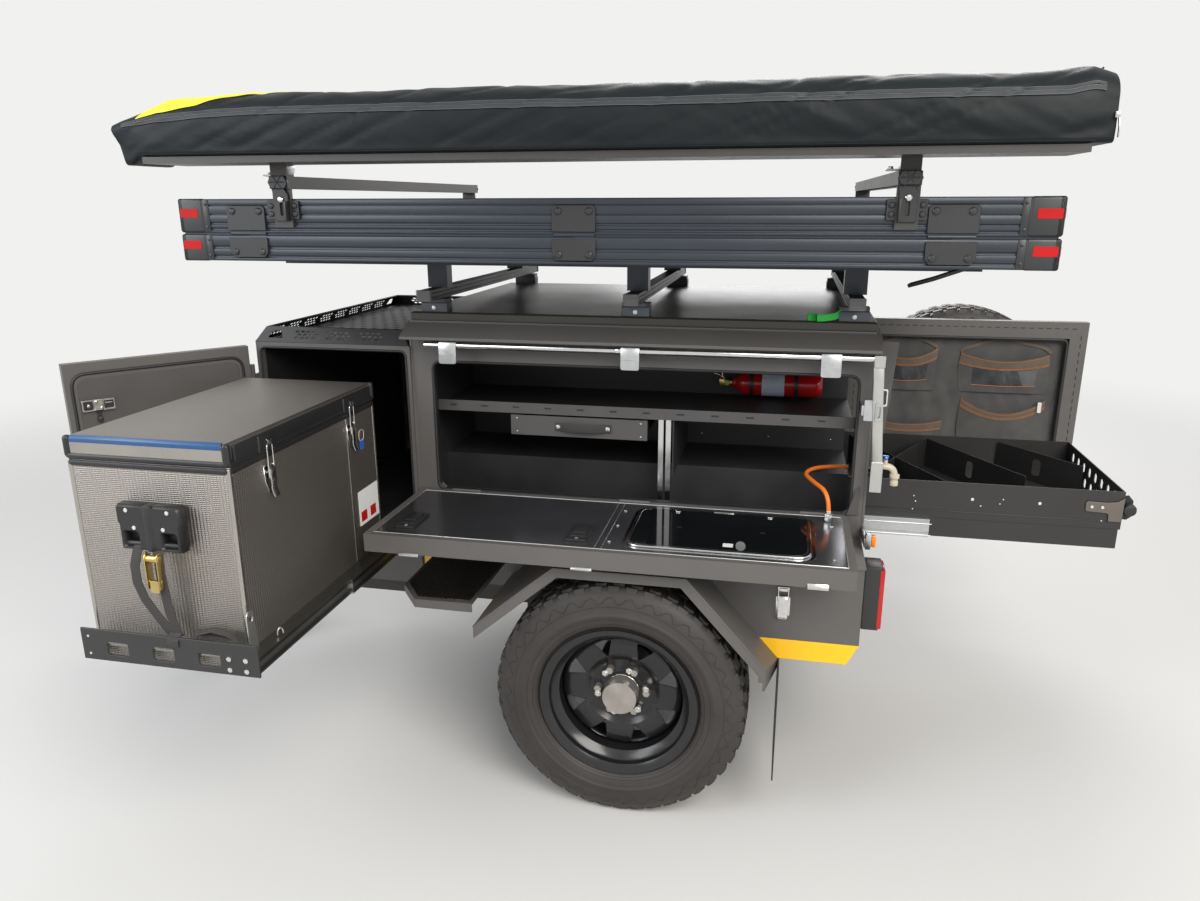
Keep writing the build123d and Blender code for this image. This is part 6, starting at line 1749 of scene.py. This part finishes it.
for number, x in enumerate((-0.981, -0.112, 0.746)):
    left, right = x - 0.054, x + 0.054
    upper = [
        (left, 1.612), (right, 1.612), (right, 1.668), (right - 0.006, 1.674), (left + 0.006, 1.674),
        (left, 1.668),
    ]
    lower = [
        (left, 1.594), (left, 1.556), (left + 0.01, 1.544), (right - 0.01, 1.544), (right, 1.556),
        (right, 1.594),
    ]
    for part, rides, outline, z in (("lid", "tent_lid", upper, 1.66), ("base", "chassis", lower, 1.558)):
        plates = [pressed("plate", outline, thick=0.0045, edge=0.001, y=TENT_Y0 - 0.0068)]
        plates += [turned("bolt", hinge_bolt, at(x + dx, -0.809, z), -1, 20) for dx in (-0.038, 0.038)]
        dress(joined(f"tent_hinge_{part}_{number}", plates), rides, satin_black, "black_plastic")
gear = strap(
    "tent_brace", [at(0.8, -0.7, 1.53), at(0.74, -0.64, 1.5), at(0.69, -0.6, 1.48)], 0.016, 0.01, CROSSWISE,
)
dress(gear, "chassis", satin_black, "black_plastic")

# Mattress inside the tent.
# A flat foam pad fills the floor tray: its cover is drawn in by four sewn lines and its edges are rounded.
PAD_X0, PAD_X1, PAD_Y0, PAD_Y1, PAD_Z0, PAD_Z1 = -1.118, 0.913, -0.748, 0.548, 1.5418, 1.6


def pad_point(u, v, w):
    """A point of the pad's skin, u and v along it, w 0 below and 1 above, drawn in at the sewn lines."""
    rim = min(u, 1 - u) * 2.03, min(v, 1 - v) * 1.3
    edge = max(0.0, 1 - min(rim) / 0.03)
    crown = math.sqrt(max(0.0, 1 - edge * edge))
    line = min(abs(u - k / 5) * 2.03 for k in (1, 2, 3, 4))
    sew = math.exp(-(line / 0.012) ** 2) * 0.01
    middle = (PAD_Z0 + PAD_Z1) / 2
    half = (PAD_Z1 - PAD_Z0) / 2 * (0.25 + 0.75 * crown)
    ripple = 0.0015 * noise.noise(Vector((u * 14, v * 9, 2.0))) - 0.0015
    z = middle - half if w == 0 else middle + half - sew + ripple
    return at(PAD_X0 + (PAD_X1 - PAD_X0) * u, PAD_Y0 + (PAD_Y1 - PAD_Y0) * v, z)


made = bmesh.new()
across, along = 120, 72
skins = [
    [
        [made.verts.new(pad_point(i / across, j / along, w)) for i in range(across + 1)]
        for j in range(along + 1)
    ]
    for w in (0, 1)
]
for j in range(along):
    for i in range(across):
        low, high = skins
        made.faces.new((low[j][i], low[j + 1][i], low[j + 1][i + 1], low[j][i + 1]))
        made.faces.new((high[j][i], high[j][i + 1], high[j + 1][i + 1], high[j + 1][i]))
rims = [
    [skin[0][i] for i in range(across)] + [skin[j][across] for j in range(along)]
    + [skin[along][across - i] for i in range(across)] + [skin[along - j][0] for j in range(along)]
    for skin in skins
]
bridged(made, rims)
pad = built("tent_pad", made)
smoothed(50)
foam_cover = finish_of("foam_cover", (0.23, 0.24, 0.25), 0.85, grain=1200, bump=0.4, depth=0.0004, patch=12)
dress(pad, "chassis", foam_cover, "foam", "tent_mattress")

# Top bars that carry the awning.
# Two hexagonal bars with moulded ends stand across the tent lid on slotted angle brackets, each with one
# bright bolt; small angles on them hold the awning's back board.
cover(bar_grey, "top_bars")
bracket_bolt = [(0.0, 0.005), (0.0055, 0.0045), (0.0075, 0.0028), (0.008, 0.0), (0.0, 0.0)]
bracket_screw = [(0.0, 0.0045), (0.0048, 0.004), (0.0066, 0.0022), (0.007, 0.0), (0.0, 0.0)]
for number, x in enumerate((-0.872, 0.646)):
    end = [
        (x - 0.027, 1.73), (x - 0.02, 1.715), (x + 0.02, 1.715), (x + 0.027, 1.73), (x + 0.02, 1.746),
        (x - 0.02, 1.746),
    ]
    for y, out in ((-0.821, -1), (0.601, 1)):
        cap = pressed("cap", end, thick=0.01, edge=0.002, y=y)
        spokes = [round_bar("spoke", at(x, y + out * 0.0048, 1.7305), 0.0016, 0.04, direction, 0.0004, 8)
                  for direction in (LENGTHWISE, (0.6, 0, 0.8), (-0.6, 0, 0.8))]
        end_cap = joined(f"top_bar_cap_{number}_{'near' if out < 0 else 'far'}", [cap] + spokes)
        dress(end_cap, "tent_lid", corner_black, "black_plastic")
    side = 1 if x < 0 else -1
    slot = rectangle(x - 0.0035, x + 0.0035, 1.65, 1.682, 0.003)
    shield = [(x - 0.02, 1.636), (x + 0.02, 1.636), (x + 0.02, 1.7), (x + 0.012, 1.715), (x - 0.024, 1.715),
              (x - 0.02, 1.7)]
    face = pressed("face", shield, [slot], thick=0.004, edge=0.001, y=-0.814)
    back = pressed("back", rectangle(x - 0.044, x + 0.044, 1.64, 1.686, 0.004), y=-0.808)
    lip = block(
        "lip", at(x + side * 0.018 - 0.002, -0.83, 1.637), at(x + side * 0.018 + 0.002, -0.806, 1.686), 0.001,
    )
    dress(joined(f"top_bar_bracket_{number}", [face, lip, back]), "tent_lid", satin_black, "black_plastic")
    bolt = turned(f"top_bar_bolt_{number}", bracket_bolt, at(x, -0.8165, 1.689), -1, 20)
    dress(bolt, "tent_lid", bright_metal, "galvanised")
    darks = [turned("bolt", bracket_screw, at(x + dx, -0.81, z), -1, 16)
             for dx in (-0.033, 0.033) for z in (1.653, 1.673)]
    dress(joined(f"top_bar_screws_{number}", darks), "tent_lid", corner_black, "black_plastic")
    bend = [(x - 0.05, 1.7475), (x - 0.01, 1.7475), (x + 0.012, 1.749), (x + 0.016, 1.76),
            (x + 0.016, 1.7735)]
    angle = [strap("angle", side_line(-0.785, bend), 0.04, 0.004, CROSSWISE)]
    for dx in (-0.04, -0.018):
        angle.append(round_bar("nut", at(x + dx, -0.785, 1.752), 0.006, 0.007, UPRIGHT, 0.001, 6))
    dress(joined(f"awning_angle_{number}", angle), "tent_lid", zinc, "galvanised")

# Awning bag.
# A glossy black PVC bag hangs round the folded awning: rounded over the top, nearly flat in front, drooping
# at its left end and folded up at its right, with a long zip, creases and a plain yellow patch.
pvc = blank("pvc")
place = layer(pvc, "TexCoord", "Object")
cells = layer(pvc, "TexVoronoi", "Distance", Vector=place, Scale=900)
stretched = layer(pvc, "Mapping", "Vector", Vector=place, Scale=(3.4, 6.0, 5.0), Rotation=(0, 0.75, 0))
folds = layer(pvc, "TexNoise", "Fac", Vector=stretched, Scale=2.2, Detail=3, Roughness=0.45)
fine = layer(pvc, "Bump", "Normal", Height=cells, Strength=0.25, Distance=0.0003)
creases = layer(pvc, "Bump", "Normal", Height=folds, Normal=fine, Strength=0.45, Distance=0.01)
gloss = layer(pvc, "MapRange", "Result", Value=folds, To_Min=0.36, To_Max=0.58)
coat(pvc, Base_Color=(0.007, 0.0092, 0.0105, 1), Specular_IOR_Level=0.16, Roughness=gloss, Normal=creases)
BAG_X0, BAG_X1, BAG_MIDDLE = -1.222, 1.007, -0.84
# Around the bag from its lower back edge: how far from the middle, and how high.
bag_round = [
    (0.094, 1.794), (0.099, 1.83), (0.098, 1.87), (0.088, 1.908), (0.062, 1.929), (0.015, 1.936),
    (-0.038, 1.93), (-0.074, 1.914), (-0.093, 1.888), (-0.099, 1.85), (-0.097, 1.812), (-0.092, 1.7925),
    (-0.05, 1.791), (0.0, 1.7908), (0.055, 1.791),
]
AROUND = len(bag_round)


def ring_at(t):
    """A smooth point of the bag's section, t from 0 to 1 round it."""
    k = t * AROUND
    i = int(math.floor(k))
    f = k - i
    a, b, c, d = (Vector(bag_round[(i + n) % AROUND]) for n in (-1, 0, 1, 2))
    return 0.5 * (
        (2 * b) + (c - a) * f + (2 * a - 5 * b + 4 * c - d) * f * f + (3 * b - a - 3 * c + d) * f * f * f
    )


def bag_point(s, t, lift=0.0):
    """A point of the bag's skin: s from its left end to its right, t round it; lift moves it outwards."""
    side, z = ring_at(t % 1.0)
    middle_z = 1.852
    x = BAG_X0 + (BAG_X1 - BAG_X0) * s
    left = max(0.0, 1 - (x - BAG_X0) / 0.26)
    end = max(0.0, 1 - (x - BAG_X0) / 0.11)
    right = max(0.0, 1 - (BAG_X1 - x) / 0.1)
    swell = 1 - 0.1 * left ** 2.0 - 0.08 * end - 0.1 * right ** 2
    high = max(0.0, z - middle_z)
    z -= high * (0.2 * left ** 1.2 + 0.52 * end ** 1.1 + 0.1 * right)
    z += 0.012 * max(0.0, 1 - abs(BAG_X1 - 0.045 - x) / 0.05) * (1 if z > middle_z else 0)
    x -= 0.026 * end * min(1.0, max(0.0, (z - 1.794) / 0.06))
    side *= swell
    out = Vector((side, z - middle_z))
    out = out.normalized() if out.length > 1e-6 else Vector((0, 1))
    free = min(1.0, max(0.0, (z - 1.797) / 0.02))
    folds = noise.noise(Vector((x * 5.5 + z * 16, side * 7, 1.7))) * 0.0042
    folds += noise.noise(Vector((x * 17 + z * 34, side * 22, 4.1))) * 0.0022
    crease = abs(noise.noise(Vector((x * 9 - z * 22, side * 9, 7.3))))
    folds -= 0.003 * math.exp(-(crease / 0.1) ** 2)
    moved = folds * free + lift
    side += out.x * moved
    z += out.y * moved * free
    droop = min(1.0, max(0.0, (-1.174 - x) / 0.034)) * min(1.0, max(0.0, (1.815 - z) / 0.02))
    z = max(z, 1.7908) - 0.02 * droop
    return at(x, BAG_MIDDLE + side, z)


ALONG, ROUND = 300, 72
made = bmesh.new()
rings = [[made.verts.new(bag_point(i / ALONG, j / ROUND)) for j in range(ROUND)] for i in range(ALONG + 1)]
bridged(made, rings)
for ring, way in ((rings[0], -1), (rings[-1], 1)):
    middle = sum((v.co for v in ring), Vector()) / ROUND
    gathered = [ring]
    for step, push in ((0.8, 0.0), (0.55, -0.002), (0.28, -0.004)):
        fresh = []
        for v in ring:
            spot = middle + (v.co - middle) * step
            spot.x += way * push + 0.003 * noise.noise(spot * 30)
            fresh.append(made.verts.new(spot))
        gathered.append(fresh)
    bridged(made, gathered)
    made.faces.new(gathered[-1])
cover_piece = built("awning_cover", made)
smoothed(70)
dress(cover_piece, "tent_lid", pvc, "bag_pvc", "awning_bag")


def zip_t(s):
    """How far round the bag the zip runs; it drops towards the left end."""
    return (7.98 + 0.34 * max(0.0, 1 - s / 0.16)) / AROUND


tape_weave = finish_of("tape_weave", (0.012, 0.014, 0.016), 0.62, grain=700, bump=0.6, vary=0.2, patch=30)
for place, side in (("over", -1), ("under", 1)):
    def beside(u, v):
        """A point of the tape on this side of the zip."""
        return bag_point(0.012 + 0.976 * u, zip_t(u) + side * (0.05 + 0.19 * v) / AROUND, 0.0016)

    dress(sheet_of("zip_tape_" + place, 260, 4, beside, 0.001), "tent_lid", tape_weave, "bag_pvc")


def bag_line(name, start, share, way, lift, radius, roundness):
    """A cord on the bag's skin; way says how far round it runs at each place from 0 to 1."""
    points = [bag_point(start + share * i / 160, way(i / 160), lift) for i in range(161)]
    return thickened(run(name, points), radius, roundness)


stitches = [bag_line("stitches", 0.012, 0.976, lambda s: zip_t(s) + offset / AROUND, 0.0022, 0.0008, 1)
            for offset in (-0.23, 0.23)]
dress(joined("zip_stitches", stitches), "tent_lid", foot_grey, "bag_pvc")
zip_teeth = finish_of(
    "zip_teeth", (0.045, 0.046, 0.05), 0.4, metal=0.3, grain=480, bump=0.9, depth=0.001, vary=0.5, patch=420,
)
dress(bag_line("zip_chain", 0.012, 0.976, zip_t, 0.0006, 0.0021, 2), "tent_lid", zip_teeth, "bag_pvc")
pull = [
    block("slider", at(1.0, -0.937, 1.836), at(1.01, -0.925, 1.848)),
    strap(
        "pull", [at(1.0085, -0.932, 1.838), at(1.011, -0.933, 1.82), at(1.0115, -0.933, 1.8)], 0.007, 0.0022,
        CROSSWISE,
    ),
]
dress(joined("zip_pull", pull), "tent_lid", bright_metal, "galvanised")
for name, t in (("upper", 4.6 / AROUND), ("lower", 10.75 / AROUND)):
    dress(bag_line("seam_" + name, 0.02, 0.965, lambda s: t, 0.0004, 0.0013, 1), "tent_lid", pvc, "bag_pvc")
yellow_patch = finish_of("yellow_patch", (0.72, 0.65, 0.025), 0.5, grain=300, bump=0.12, vary=0.08, patch=20)


def patch_point(u, v):
    """A point of the patch, which is tall at its left end and low at its right."""
    return bag_point(0.026 + 0.026 * (1 - v) + 0.14 * u, (4.9 + (3.0 - 2.3 * u ** 1.8) * v) / AROUND, 0.0016)


dress(sheet_of("bag_patch", 48, 18, patch_point, 0.0008), "tent_lid", yellow_patch, "bag_pvc")
ear = strap(
    "bag_ear", [at(0.985, -0.815, 1.926), at(0.992, -0.812, 1.934), at(0.998, -0.81, 1.939)], 0.03, 0.004,
    CROSSWISE,
)
dress(ear, "tent_lid", pvc, "bag_pvc")

# Jockey wheel.
# The small wheel in its caster fork on the drawbar has a tread of solid rubber; its hub keeps the look of the
# black steel round it.
cover(rubber, "jockey_wheel")

# The finished model's box, beside the solids' box.
low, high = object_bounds()
{"cad": [list(cad_low), list(cad_high)], "model": [list(low), list(high)]}
